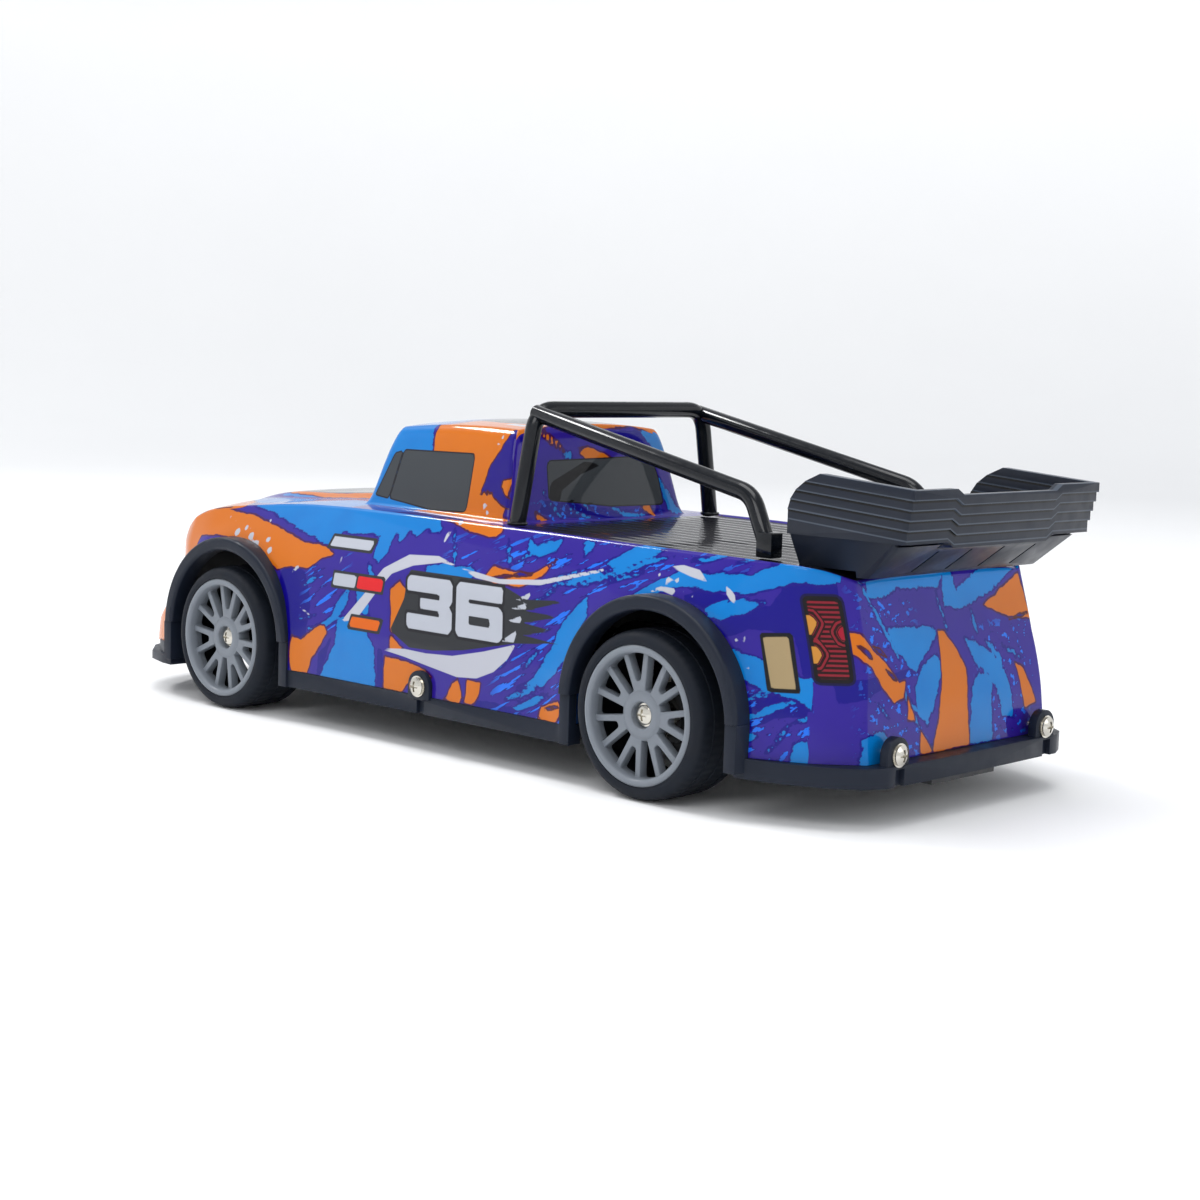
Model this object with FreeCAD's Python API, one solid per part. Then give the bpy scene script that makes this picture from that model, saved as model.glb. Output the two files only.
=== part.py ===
"""A four-wheel-drive remote control pickup racer, about 1:16 scale, as separate pieces.

Row frame, millimetres: +X to the front of the car, +Y to its left, +Z up. The origin is on the
ground, under the middle of the car's length and width.
"""
import FreeCAD, Part
import math
import os

from FreeCAD import Vector as V

os.makedirs("parts", exist_ok=True)

# ---- driving dimensions --------------------------------------------------------------------
X_AXLE = {"f": 90.0, "r": -84.0}        # wheelbase 174
Z_AXLE = 22.0
TYRE_R, TYRE_SEAT_R, TYRE_W = 22.0, 18.2, 20.0
Y_WHEEL_OUT = 61.0                      # outer face of the tyre
Y_WHEEL_IN = Y_WHEEL_OUT - TYRE_W
FRONT_X = 152.5                         # tip of the front lip

ARCH_X = {"f": 89.5, "r": -86.0}        # centres of the wheel arches
ARCH_Z = 22.5
ARCH_R_IN, ARCH_R_OUT = 26.5, 30.5
SKIRT_Z = (10.5, 15.6)
SEAM_Z = 24.0                           # where the arch trims meet the skirts and bumpers
SHELL_T = 1.2

PLATE_Z = (8.0, 10.0)                   # chassis plate
HINGE_Y, KNUCKLE_Y, KINGPIN_Y = 14.0, 40.0, 43.0
LOWER_Z, UPPER_Z = 12.0, 31.0           # hinge heights of the lower arm and the upper link
PIN_R = 1.2
RUN = 0.06                              # radial clearance of a running fit

SHAFT_R = 2.0
GEAR_MODULE, SPUR_TEETH, PINION_TEETH = 0.5, 42, 15
GEAR_X = (-52.0, -48.0)
GEAR_BACKLASH = 0.10
MOTOR_R, MOTOR_X = 11.6, (-45.0, -13.0)

RACK_Z = (15.5, 18.5)
STEER_ARM = 11.0                        # knuckle arm and servo horn length
RACK_X = X_AXLE["f"] - STEER_ARM - 11.0
HORN_AXIS = (RACK_X - STEER_ARM, -22.0)

CORNERS = [("f", "l"), ("f", "r"), ("r", "l"), ("r", "r")]


# ---- small helpers -------------------------------------------------------------------------
def box(x, y, z):
    """Box between the pairs x, y and z."""
    x, y, z = sorted(x), sorted(y), sorted(z)
    return Part.makeBox(x[1] - x[0], y[1] - y[0], z[1] - z[0], V(x[0], y[0], z[0]))


def rod(p, q, r):
    """Round bar of radius r from p to q."""
    p, q = V(*p), V(*q)
    return Part.makeCylinder(r, (q - p).Length, p, q - p)


def ball(p, r):
    return Part.makeSphere(r, V(*p))


def tube(p, q, r_out, r_in):
    return rod(p, q, r_out).cut(rod(p, q, r_in))


def fuse(shapes):
    whole = shapes[0].multiFuse(shapes[1:]) if len(shapes) > 1 else shapes[0]
    return whole.removeSplitter()


def prism(points, base, along):
    """Solid from a closed polygon (a list of 3-D points) pushed along a vector."""
    wire = Part.makePolygon([V(*p) + base for p in points] + [V(*points[0]) + base])
    return Part.Face(wire).extrude(along)


def plan(points, z):
    """Prism with the given plan outline between the heights z."""
    return prism([(x, y, 0) for x, y in points], V(0, 0, z[0]), V(0, 0, z[1] - z[0]))


def mirrored(shape):
    """The shape's copy on the other side of the car."""
    return shape.mirror(V(0, 0, 0), V(0, 1, 0))


def both_sides(shape):
    return Part.makeCompound([shape, mirrored(shape)])


def placed(shape, side):
    """The shape as drawn for the left, or its mirror image for the right."""
    return shape if side == "l" else mirrored(shape)


def safe_fillet(shape, radius, pick):
    """Rounds the picked edges, and leaves the shape as it is where that fails."""
    edges = [e for e in shape.Edges if pick(e)]
    try:
        rounded = shape.makeFillet(radius, edges)
        return rounded if rounded.isValid() and rounded.Volume > 0 else shape
    except Exception:
        return shape


def largest(shape):
    return max(shape.Solids, key=lambda s: s.Volume)


def save(name, shape):
    """Writes the shape's solids as parts/NAME.step."""
    solids = shape.Solids
    assert solids and all(s.isValid() and s.Volume > 0 for s in solids), name
    out = solids[0] if len(solids) == 1 else Part.makeCompound(solids)
    out.exportStep(f"parts/{name}.step")


# ---- body shell ----------------------------------------------------------------------------
# Rails of the shell along the car: half width, how far the belt lies inside it, and belt height.
TAIL_X, NOSE_X = -138.8, 137.0
PLAN_Y = [(-138.8, 38.9), (-134.0, 43.6), (-128.5, 48.6), (-122.0, 51.9), (-112.0, 54.6), (-98.0, 56.5),
          (-84.0, 57.3), (90.0, 57.3), (106.0, 57.0), (118.0, 55.6), (128.0, 52.4), (133.0, 49.2),
          (137.0, 44.4)]
BELT_IN = [(-138.8, 2.6), (-128.5, 4.2), (-118.0, 6.6), (-100.0, 9.4), (-84.0, 10.3), (60.0, 10.3),
           (90.0, 9.0), (112.0, 7.0), (124.0, 5.0), (137.0, 3.6)]
BELT_Z = [(-138.8, 59.6), (-131.0, 62.2), (-125.0, 62.9), (-60.0, 64.0), (-31.0, 64.5), (40.0, 65.0),
          (60.0, 64.7), (74.0, 64.0), (86.0, 62.9), (106.0, 60.6), (119.0, 57.2), (127.0, 54.2), (137.0, 49.8)]
HOOD_RISE = [(-20.0, 0.0), (20.0, 1.0), (50.0, 1.6), (75.0, 1.4), (105.0, 3.2), (118.0, 4.6), (137.0, 7.6)]
# how far the tail and the nose lean along the car with height, as (z, shift)
TAIL_LEAN = [(15.0, -2.3), (35.3, 0.0), (60.0, 6.1), (66.0, 7.6)]
NOSE_LEAN = [(15.0, 5.4), (22.0, 4.6), (27.0, 1.4), (33.0, -3.4), (42.0, -6.2), (49.0, -5.0), (56.0, -7.0)]
NOSE_BOW = [(15.0, 2.6), (32.0, 6.5)]   # how far the nose bulges forward in the middle, by height
# top edge of the sloping end faces as (x, z)
TAIL_FACE = [(-141.1, 16.2), (-138.8, 35.3), (-132.7, 60.0), (-131.0, 66.0)]
NOSE_FACE = [(135.6, 60.0), (136.6, 44.0), (139.2, 33.0), (142.8, 27.0), (144.2, 16.4)]
CAB_REAR, CAB_FRONT, ROOF_Z = -13.0, 51.0, 92.4
CAB_HALF, SIDE_FOOT_Z, REAR_FOOT_Z, SCREEN_FOOT_Z = 36.9, 66.0, 71.0, 63.3
SIDE_SLOPE, REAR_SLOPE, SCREEN_SLOPE = 3.9, 5.1, 3.3
ROOF_CROWN, SCREEN_BOW = 0.0021, 4.0
WALL_STEPS = [0.0, 0.3, 0.62, 0.85, 1.0]
TOP_STEPS = [0.96, 0.84, 0.78, 0.74, 0.69, 0.62, 0.4, 0.0]


def spread(x, table):
    """Straight-line reading of a table of (x, value) pairs in rising x."""
    for (x0, v0), (x1, v1) in zip(table, table[1:]):
        if x <= x1:
            return v0 + (v1 - v0) * max(0.0, (x - x0) / (x1 - x0))
    return table[-1][1]


def ease(start, end, x):
    """Smooth step from 0 at start to 1 at end."""
    t = min(max((x - start) / (end - start), 0.0), 1.0)
    return t * t * (3 - 2 * t)


def station_at(x, z):
    """Station of the plan whose leaning section passes through x at the height z."""
    station = x
    for _ in range(5):
        tail, nose = ease(-104.0, TAIL_X, station), ease(110.0, NOSE_X, station)
        station = x - tail * spread(z, TAIL_LEAN) - nose * spread(z, NOSE_LEAN)
    return min(max(station, TAIL_X), NOSE_X)


def wall_y(x, z, belt_z):
    """Half width of the shell's wall."""
    station = station_at(x, z)
    depth = spread(station, BELT_IN)
    t = (z - SKIRT_Z[1]) / (belt_z - SKIRT_Z[1])
    tuck = spread(t, [(0.0, -0.5), (0.25, -0.2), (0.5, 1.2), (0.62, 2.0)])
    if t > 0.62:
        tuck = 2.0 + (depth - 2.0) * ((t - 0.62) / 0.38) ** 1.35
    beyond = max(0.0, x - NOSE_X - spread(z, NOSE_LEAN))
    bow = math.sqrt(max(0.0, 1.0 - beyond / spread(z, NOSE_BOW)))
    return max((spread(station, PLAN_Y) - tuck) * bow, 6.0)


def top_height(x, y, belt_z, half):
    """Height of the bonnet, the cab or the bed cover."""
    s = min(abs(y) / half, 1.0)
    deck = belt_z + spread(x, HOOD_RISE) * (1 - s ** 2.4)
    side = SIDE_FOOT_Z + (CAB_HALF - abs(y)) * SIDE_SLOPE
    rear = REAR_FOOT_Z + (x - CAB_REAR) * REAR_SLOPE
    screen = SCREEN_FOOT_Z + (CAB_FRONT + SCREEN_BOW * (1 - (y / CAB_HALF) ** 2) - x) * SCREEN_SLOPE
    height = max(deck, min(ROOF_Z - ROOF_CROWN * y ** 2, side, rear, screen))
    if x < TAIL_FACE[-1][0]:
        height = min(height, spread(x, TAIL_FACE))
    if x > NOSE_FACE[0][0]:
        height = min(height, spread(x, NOSE_FACE))
    return height


def section_points(x):
    """Half section of the shell at x, from the skirt up to the middle, as (y, z) points."""
    belt_z = spread(station_at(x, 60.0), BELT_Z)
    belt_z = top_height(x, 1e3, belt_z, 1.0)
    wall = [SKIRT_Z[1] + (belt_z - SKIRT_Z[1]) * t for t in WALL_STEPS]
    full = max(belt_z, 49.8)
    half = [(wall_y(x, z, full), z) for z in wall]
    belt_y = half[-1][0]
    return half + [(belt_y * f, top_height(x, belt_y * f, belt_z, belt_y)) for f in TOP_STEPS]


def half_width(x):
    """Largest half width of the shell at x."""
    return max(y for y, _ in section_points(x))


def section_wire(x, inset, shift):
    """Closed wire of one station, both halves, moved inwards by inset and along the car by shift."""
    half = [(y * (1 - inset / half_width(x)), z - inset) for y, z in section_points(x)]
    if inset:
        half[0] = (half[0][0], SKIRT_Z[0] - 4.0)
    whole = half + [(-y, z) for y, z in reversed(half[:-1])]
    points = [V(x + shift, y, z) for y, z in whole]
    return Part.makePolygon(points + [points[0]])


def shell_stations():
    """(x, shift of the inner skin along the car) from the tail to the nose."""
    tail = [(x, SHELL_T) for x in (-141.0, -138.8, -135.6, -132.6)]
    bed = [(x, 0.0) for x in (-127.0, -119.0, -108.0, -84.0, -50.0)]
    cab = [(CAB_REAR - 1.6, SHELL_T), (CAB_REAR, SHELL_T), (CAB_REAR + 4.2, SHELL_T), (10.0, 0.0), (36.0, 0.0)]
    screen = [(x, -SHELL_T) for x in (42.0, 46.5, 51.0, 55.5)]
    hood = [(x, 0.0) for x in (66.0, 84.0, 104.0, 118.0, 127.0)]
    nose = [(x, -SHELL_T) for x in (131.0, 135.4, 138.0, 141.0, 143.8)]
    return tail + bed + cab + screen + hood + nose


def body_shell():
    rows = shell_stations()
    outer = Part.makeLoft([section_wire(x, 0.0, 0.0) for x, _ in rows], True, True)
    shell = outer.cut(Part.makeLoft([section_wire(x, SHELL_T, shift) for x, shift in rows], True, True))
    for end in "fr":
        shell = shell.cut(rod((ARCH_X[end], -70, ARCH_Z), (ARCH_X[end], 70, ARCH_Z), ARCH_R_OUT))
        shell = shell.cut(box((ARCH_X[end] - ARCH_R_OUT, ARCH_X[end] + ARCH_R_OUT), (-70, 70), (0, ARCH_Z)))
    for trim in (front_bumper(), rear_bumper(), side_skirts(), rear_wing(), roll_cage()):
        shell = shell.cut(trim)
    return largest(shell)


# ---- skirts, bumpers and arch trims --------------------------------------------------------
LUG_R, LUG_Z = 4.4, 18.2
REAR_LUG_Y, FRONT_LUG_Y = 33.0, 28.0
REAR_SEAT_X, FRONT_SEAT_X, SIDE_SEAT_Y = -145.4, 146.0, 59.1
Y_TRIM = (54.6, 60.5)
HORN_Y = (54.6, 60.2)                   # ends of the bumpers that stand up to the arch trims


def lug(centre, along, thick):
    """Upright ear around a body screw, with its slot below."""
    c = V(*centre)
    a = V(*along)
    disc = Part.makeCylinder(LUG_R, thick, c, a)
    across = V(-a.y, a.x, 0)
    low = c + V(0, 0, SKIRT_Z[1] - LUG_Z - 1.0)
    corners = [low - across * LUG_R, low + across * LUG_R, c + across * LUG_R, c - across * LUG_R]
    foot = Part.Face(Part.makePolygon(corners + [corners[0]])).extrude(a * thick)
    hole = Part.makeCylinder(1.5, thick * 3, c - a * thick, a)
    return disc.fuse(foot).cut(hole)


def front_bumper():
    half = [(FRONT_X, 0), (152.0, 20), (149.4, 36), (143.4, 47.2), (133, 55.6), (123, 58.8), (117.5, 59.4),
            (117.5, 50), (126, 47), (136, 42), (141.5, 33), (143.2, 18), (143.2, 0)]
    outline = half + [(x, -y) for x, y in reversed(half[1:-1])]
    floor = plan(outline, (10.0, 12.6))
    rim_half = [(150.4, 0), (149.6, 18), (147.0, 34), (141.4, 45.4), (131.6, 53.6), (122, 57.4),
                (117.5, 58.2), (117.5, 53.6), (126, 51), (136.5, 44.4), (142.8, 34.5), (145.2, 18),
                (145.2, 0)]
    rim = plan(rim_half + [(x, -y) for x, y in reversed(rim_half[1:-1])], (12.0, SKIRT_Z[1] + 0.6))
    horn = box((ARCH_X["f"] + ARCH_R_IN + 0.4, ARCH_X["f"] + ARCH_R_OUT), HORN_Y, (12.0, SEAM_Z))
    lugs = lug((FRONT_SEAT_X - 2.0, FRONT_LUG_Y, LUG_Z), (1, 0, 0), 2.0)
    # a short brace keeps the ears on the rim
    brace_y = (FRONT_LUG_Y - LUG_R, FRONT_LUG_Y + LUG_R)
    brace = box((FRONT_SEAT_X - 2.0, FRONT_SEAT_X), brace_y, (12.0, SKIRT_Z[1]))
    parts = [floor, rim]
    for shape in (horn, lugs, brace):
        parts += [shape, mirrored(shape)]
    return screw_clearance(fuse(parts))


def rear_bumper():
    half = [(-146.5, 0), (-146.0, 38), (-143.5, 43.5), (-136, 49.5), (-126, 54), (-116, 56.5),
            (-113, 56.5), (-113, 52), (-124, 49.4), (-132.4, 44.6), (-137.6, 38.6), (-139.4, 34), (-139.4, 0)]
    outline = half + [(x, -y) for x, y in reversed(half[1:-1])]
    ring = plan(outline, SKIRT_Z)
    horn = box((ARCH_X["r"] - ARCH_R_OUT, ARCH_X["r"] - ARCH_R_IN - 0.4), HORN_Y, (12.0, SEAM_Z))
    ears = lug((REAR_SEAT_X + 2.4, REAR_LUG_Y, LUG_Z), (-1, 0, 0), 2.4)
    slot = box((-148, -142), (REAR_LUG_Y - 1.8, REAR_LUG_Y + 1.8), (8.0, LUG_Z - 3.4))
    slot = slot.cut(box((-144.6, -142), (0, 60), (0, 30)))
    parts = [ring]
    for shape in (horn, ears):
        parts += [shape, mirrored(shape)]
    return screw_clearance(fuse(parts).cut(slot).cut(mirrored(slot)))


def side_skirts():
    x_f, x_r = ARCH_X["f"] - ARCH_R_IN - 0.4, ARCH_X["r"] + ARCH_R_IN + 0.4
    outline = [(x_r, 58.6), (x_r + 6, 58.2), (x_f - 6, 58.2), (x_f, 58.8), (x_f, 54.6), (x_r, 54.6)]
    bar = plan(outline, SKIRT_Z)
    front_post = box((x_f - 3.6, x_f), (56.4, 59.4), (SKIRT_Z[0], SEAM_Z))
    rear_post = box((x_r, x_r + 3.6), (56.4, 59.2), (SKIRT_Z[0], SEAM_Z))
    ear = lug((0, SIDE_SEAT_Y - 1.7, LUG_Z + 0.3), (0, 1, 0), 1.7)
    slot = box((-1.5, 1.5), (57.0, 60), (8.0, LUG_Z - 3.6))
    left = fuse([bar, front_post, rear_post, ear]).cut(slot)
    return both_sides(left)


def arch_trim(end):
    """One wheel arch trim for the left side."""
    c = (ARCH_X[end], Y_TRIM[0], ARCH_Z)
    d = (ARCH_X[end], Y_TRIM[1], ARCH_Z)
    ring = tube(c, d, ARCH_R_OUT, ARCH_R_IN)
    cut = box((ARCH_X[end] - 40, ARCH_X[end] + 40), (50, 65), (-20, SEAM_Z + 0.05))
    trim = ring.cut(cut)
    return safe_fillet(trim, 1.1, lambda e: abs(e.BoundBox.YMin - Y_TRIM[1]) < 0.01
                       and e.BoundBox.ZMax > ARCH_Z + 20)


def arch_trims():
    left = [arch_trim("f"), arch_trim("r")]
    return Part.makeCompound(left + [mirrored(t) for t in left])


def pan_screw(head, along, length):
    """Pan-head screw: head is the seat's centre and along points out of the work."""
    h, a = V(*head), V(*along)
    dome = Part.makeSphere(4.4, h + a * (1.9 - 4.4)).common(Part.makeCylinder(2.6, 4, h, a))
    flange = Part.makeCylinder(3.0, 0.5, h, a)
    shank = Part.makeCylinder(1.3, length, h, a * -1)
    screw = dome.fuse(flange).fuse(shank)
    side = V(-a.y, a.x, 0)
    for arm, other in ((side, V(0, 0, 1)), (V(0, 0, 1), side)):
        corner = h + a * 0.9 - arm * 1.5 - other * 0.35
        face = Part.makePolygon([corner, corner + arm * 3.0, corner + arm * 3.0 + other * 0.7,
                                 corner + other * 0.7, corner])
        screw = screw.cut(Part.Face(face).extrude(a * 2.0))
    return screw


def body_screws():
    rear = pan_screw((REAR_SEAT_X, REAR_LUG_Y, LUG_Z), (-1, 0, 0), 7.0)
    side = pan_screw((0, SIDE_SEAT_Y, LUG_Z + 0.3), (0, 1, 0), 6.0)
    front = pan_screw((FRONT_SEAT_X, FRONT_LUG_Y, LUG_Z), (1, 0, 0), 7.0)
    left = [rear, side, front]
    return Part.makeCompound(left + [mirrored(s) for s in left])


def screw_clearance(shape):
    """The shape with room for the body screws' shanks and heads."""
    for x, y, a in ((REAR_SEAT_X, REAR_LUG_Y, (-1, 0, 0)), (FRONT_SEAT_X, FRONT_LUG_Y, (1, 0, 0))):
        pocket = Part.makeCylinder(3.1, 8, V(x, y, LUG_Z), V(*a))
        shape = shape.cut(pocket).cut(mirrored(pocket))
    for x, y, a in ((-150, REAR_LUG_Y, (1, 0, 0)), (136, FRONT_LUG_Y, (1, 0, 0))):
        drill = Part.makeCylinder(1.5, 16, V(x, y, LUG_Z), V(*a))
        shape = shape.cut(drill).cut(mirrored(drill))
    drill = Part.makeCylinder(1.5, 20, V(0, 45, LUG_Z + 0.3), V(0, 1, 0))
    return shape.cut(drill).cut(mirrored(drill))


# ---- roll cage and wing --------------------------------------------------------------------
CAGE_R = 2.35
HOOP_FOOT, HOOP_TOP = (-19.4, 41.0, 64.6), (-19.8, 35.0, 96.6)
STAY_BEND, STAY_FOOT = (-98.3, 35.3, 78.4), (-107.0, 38.2, 64.0)


def roll_cage():
    def far(p):
        return (p[0], -p[1], p[2])
    parts = [rod(HOOP_TOP, far(HOOP_TOP), CAGE_R)]
    foot_block = box((-109.4, -104.4), (36.0, 40.6), (63.2, 69.6))
    hoop_shoe = rod(HOOP_FOOT, (HOOP_FOOT[0], HOOP_FOOT[1], HOOP_FOOT[2] + 1.0), 2.9)
    left = [rod(HOOP_FOOT, HOOP_TOP, CAGE_R), rod(HOOP_TOP, STAY_BEND, CAGE_R),
            rod(STAY_BEND, (STAY_FOOT[0], STAY_FOOT[1], STAY_FOOT[2] + 4), CAGE_R),
            ball(HOOP_TOP, CAGE_R), ball(STAY_BEND, CAGE_R), foot_block, hoop_shoe]
    for shape in left:
        parts += [shape, mirrored(shape)]
    return fuse(parts)


# The wing is a flared scoop with five overlapping laps above it, each a little further out.
WING_LAPS, LAP_H, LAP_T = 5, 2.5, 2.6
SCOOP_Z = (60.6, 70.6)                  # foot and top of the scoop
SCOOP_REAR, SCOOP_HALF, SCOOP_FRONT = (-137.4, -149.2), (37.7, 40.0), (-117.0, -114.4)
LAP_REAR, LAP_HALF, LAP_OUT = -150.1, 40.6, (0.6, 0.22)
LAP_SLOPE = 0.08                        # the laps rise towards the front of the car
LAP_FRONT = [(72.0, -114.2), (76.0, -114.2), (78.6, -115.0), (81.6, -117.0), (84.2, -120.4), (86.2, -124.4)]
LAP_UNDER = 0.6                         # how far the lowest lap reaches over the scoop
CORNER_CLIP = 1.6
NOTCH_Y, NOTCH_RAMP, NOTCH_DROP = 20.8, 2.8, 1.5
SLOT_Y, SLOT_PITCH, SLOT_LEAN, SLOT_W = 22.2, 14.6, -1.8, 0.8
SLOT_Z = (61.6, 67.2)
GROOVE_Z, GROOVE_W = (69.7, 68.2), 0.55  # heights of the engraved line at the sides and in the middle


def notched(z, half):
    """Points of a line across the wing at height z that dips in the middle, left to right."""
    outer, inner = NOTCH_Y + NOTCH_RAMP, NOTCH_Y
    left = [(half, z), (outer, z), (inner, z - NOTCH_DROP)]
    return left + [(-y, h) for y, h in reversed(left)]


def lap_front(z, rear):
    """Front end (x, z) of a lap's edge that leaves the rear face at the height z."""
    risen = z + LAP_SLOPE * (LAP_FRONT[0][1] - rear)
    x = spread(risen, LAP_FRONT)
    return x, z + LAP_SLOPE * (x - rear)


def lap(k):
    """One lap of the wing: a dipping rear band and two sides that rise towards the front."""
    foot, top = SCOOP_Z[1] + LAP_H * k, SCOOP_Z[1] + LAP_H * (k + 1)
    rear, half = LAP_REAR - LAP_OUT[0] * k, LAP_HALF + LAP_OUT[1] * k
    low = foot - LAP_UNDER if k == 0 else foot
    outline = notched(low, half) + list(reversed(notched(top, half)))
    band = prism([(rear, y, z) for y, z in outline], V(0, 0, 0), V(LAP_T, 0, 0))
    front_x, front_z = lap_front(foot, rear)
    side = [(rear, low), (front_x, low if k == 0 else front_z), lap_front(top, rear), (rear, top)]
    wall = prism([(x, half, z) for x, z in side], V(0, 0, 0), V(0, -LAP_T, 0))
    return [band, wall, mirrored(wall)]


def scoop_wire(level, inset, z):
    """Plan outline of the scoop at its foot (0) or its top (1), with clipped rear corners."""
    front, rear, half = SCOOP_FRONT[level] + inset * 3, SCOOP_REAR[level] + inset, SCOOP_HALF[level] - inset
    clip = CORNER_CLIP
    corner = [(rear + clip * 1.6, half), (rear + clip * 0.4, half - clip * 0.5), (rear, half - clip * 1.6)]
    left = [(front, half)] + corner
    points = [V(x, y, z) for x, y in left + [(x, -y) for x, y in reversed(left)]]
    return Part.makePolygon(points + [points[0]])


def scoop():
    z0, z1 = SCOOP_Z
    outer = Part.makeLoft([scoop_wire(0, 0.0, z0), scoop_wire(1, 0.0, z1)], True, True)
    inner = Part.makeLoft([scoop_wire(0, LAP_T, z0 - 0.5), scoop_wire(1, LAP_T, z1 + 0.5)], True, True)
    ahead_of_tail = box((-133.8, -100), (-60, 60), (55, 62.2))
    return outer.cut(inner).cut(ahead_of_tail)


def scoop_rear(z):
    """Rear face of the scoop at the height z."""
    return spread(z, list(zip(SCOOP_Z, SCOOP_REAR)))


def wing_marks():
    """Slots and the stepped engraved line of the wing's rear face, as cutters."""
    marks = []
    z0, z1 = SLOT_Z
    deep = 0.9
    for k in range(4):
        y = SLOT_Y - SLOT_PITCH * k
        corners = [(scoop_rear(z0), y, z0), (scoop_rear(z1), y + SLOT_LEAN, z1),
                   (scoop_rear(z1), y + SLOT_LEAN - SLOT_W, z1), (scoop_rear(z0), y - SLOT_W, z0)]
        marks.append(prism(corners, V(-2.0, 0, 0), V(2.0 + deep, 0, 0)))
    high, low = GROOVE_Z
    top = [(42.0, high), (22.0, high), (22.0, low), (-24.0, low), (-27.4, high), (-42.0, high)]
    bottom = [(y, z - GROOVE_W) for y, z in top]
    bottom[1], bottom[2] = (22.0 + GROOVE_W, high - GROOVE_W), (22.0 + GROOVE_W, low - GROOVE_W)
    line = prism([(-152.0, y, z) for y, z in top + list(reversed(bottom))], V(0, 0, 0), V(6.0, 0, 0))
    skin = box((-160, scoop_rear(low) + 2.0), (-50, 50), (60, 75))
    depth = 0.7
    core = [scoop_wire(0, depth, SCOOP_Z[0] - 0.5), scoop_wire(1, depth, SCOOP_Z[1] + 0.5)]
    marks.append(line.common(skin).cut(Part.makeLoft(core, True, True)))
    return marks


def rear_wing():
    parts = [scoop()]
    for k in range(WING_LAPS):
        parts += lap(k)
    shelf = box((-131.5, -118.5), (-34, 34), (63.55, 65.4))
    step = box((-133.0, -129.0), (-34, 34), (63.55, 66.5))
    stay = box((-131.0, -119.0), (34.0, 38.0), (63.7, 66.0))
    parts += [shelf, step, stay, mirrored(stay)]
    wing = fuse(parts)
    for mark in wing_marks():
        wing = wing.cut(mark)
    return wing


# ---- chassis and its cargo -----------------------------------------------------------------
WAIST = 10.0                            # half width of the plate between the wheels
MID_X, MID_Y = (-50.0, 58.0), 44.0
BATTERY = ((-40.0, 46.0), (8.0, 38.0), (10.0, 27.0))
RECEIVER = ((-8.0, 30.0), (-38.0, -8.0), (10.0, 23.0))
SERVO = ((36.0, 60.0), (-33.0, -11.0), (10.0, 27.0))
SWITCH_SLOT = ((8.0, 18.0), (-26.0, -21.0))


def chassis_plate():
    half = [(142.4, 14), (120, 14), (112, WAIST), (70, WAIST), (MID_X[1], 30), (MID_X[1] - 8, MID_Y),
            (MID_X[0] + 8, MID_Y), (MID_X[0], 30), (-62, WAIST), (-106, WAIST), (-114, 14), (-142.4, 14)]
    outline = half + [(x, -y) for x, y in reversed(half)]
    parts = [plan(outline, PLATE_Z)]
    for s in (1, -1):
        parts.append(box((MID_X[0] + 10, MID_X[1] - 10), (s * (MID_Y - 2), s * MID_Y), (9, 21)))
        for x in (-36, 38):
            parts.append(box((x - 4, x + 4), (s * (MID_Y - 1), s * 54.6), (10.6, 12.8)))
    parts.append(box((-38, 44), (5.4, 7.4), (9, 16)))
    return fuse(parts).cut(box(SWITCH_SLOT[0], SWITCH_SLOT[1], (0, 12)))


def gearbox(end):
    """Closed drive housing with hinge lugs and a spring tower."""
    x = X_AXLE[end]
    inner = -1 if end == "f" else 1     # side that faces the middle of the car
    case = box((x - 17, x + 17), (-WAIST, WAIST), (PLATE_Z[1], 34))
    case = safe_fillet(case, 2.0, lambda e: e.BoundBox.ZMin > 33.9)
    tower = [box((x + 4, x + 14), (-WAIST, WAIST), (30, 44)), box((x + 4, x + 14), (-31, 31), (40.5, 44))]
    lugs = []
    for s in (1, -1):
        for a, b in ((-17, -14.3), (14.3, 17)):
            lugs.append(box((x + a, x + b), (s * (WAIST - 1), s * (HINGE_Y + 2.6)),
                            (PLATE_Z[1], LOWER_Z + 2.6)))
        for a, b in ((-6.6, -4.1), (4.1, 6.6)):
            lugs.append(box((x + a, x + b), (s * (WAIST - 1), s * (HINGE_Y + 2.6)),
                            (UPPER_Z - 2.4, UPPER_Z + 2.6)))
        lugs.append(rod((x + 9, s * SPRING_Y, 38.0), (x + 9, s * SPRING_Y, 41.0), 2.2))
    whole = fuse([case] + tower + lugs)
    whole = whole.cut(box((x - 14, x + 14), (-8, 8), (12, 32)))
    whole = whole.cut(rod((x, -20, Z_AXLE), (x, 20, Z_AXLE), DIFF_R + RUN))
    whole = whole.cut(rod((x + inner * 10, 0, Z_AXLE), (x + inner * 20, 0, Z_AXLE), SHAFT_R + RUN))
    for s in (1, -1):
        whole = whole.cut(rod((x - 18, s * HINGE_Y, LOWER_Z), (x + 18, s * HINGE_Y, LOWER_Z), PIN_R))
        whole = whole.cut(rod((x - 8, s * HINGE_Y, UPPER_Z), (x + 8, s * HINGE_Y, UPPER_Z), PIN_R))
    return whole


def hinge_pins():
    pins = []
    for end in "fr":
        x = X_AXLE[end]
        for s in (1, -1):
            pins.append(rod((x - 17, s * HINGE_Y, LOWER_Z), (x + 17, s * HINGE_Y, LOWER_Z), PIN_R))
            pins.append(rod((x - 6.6, s * HINGE_Y, UPPER_Z), (x + 6.6, s * HINGE_Y, UPPER_Z), PIN_R))
    return Part.makeCompound(pins)


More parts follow.
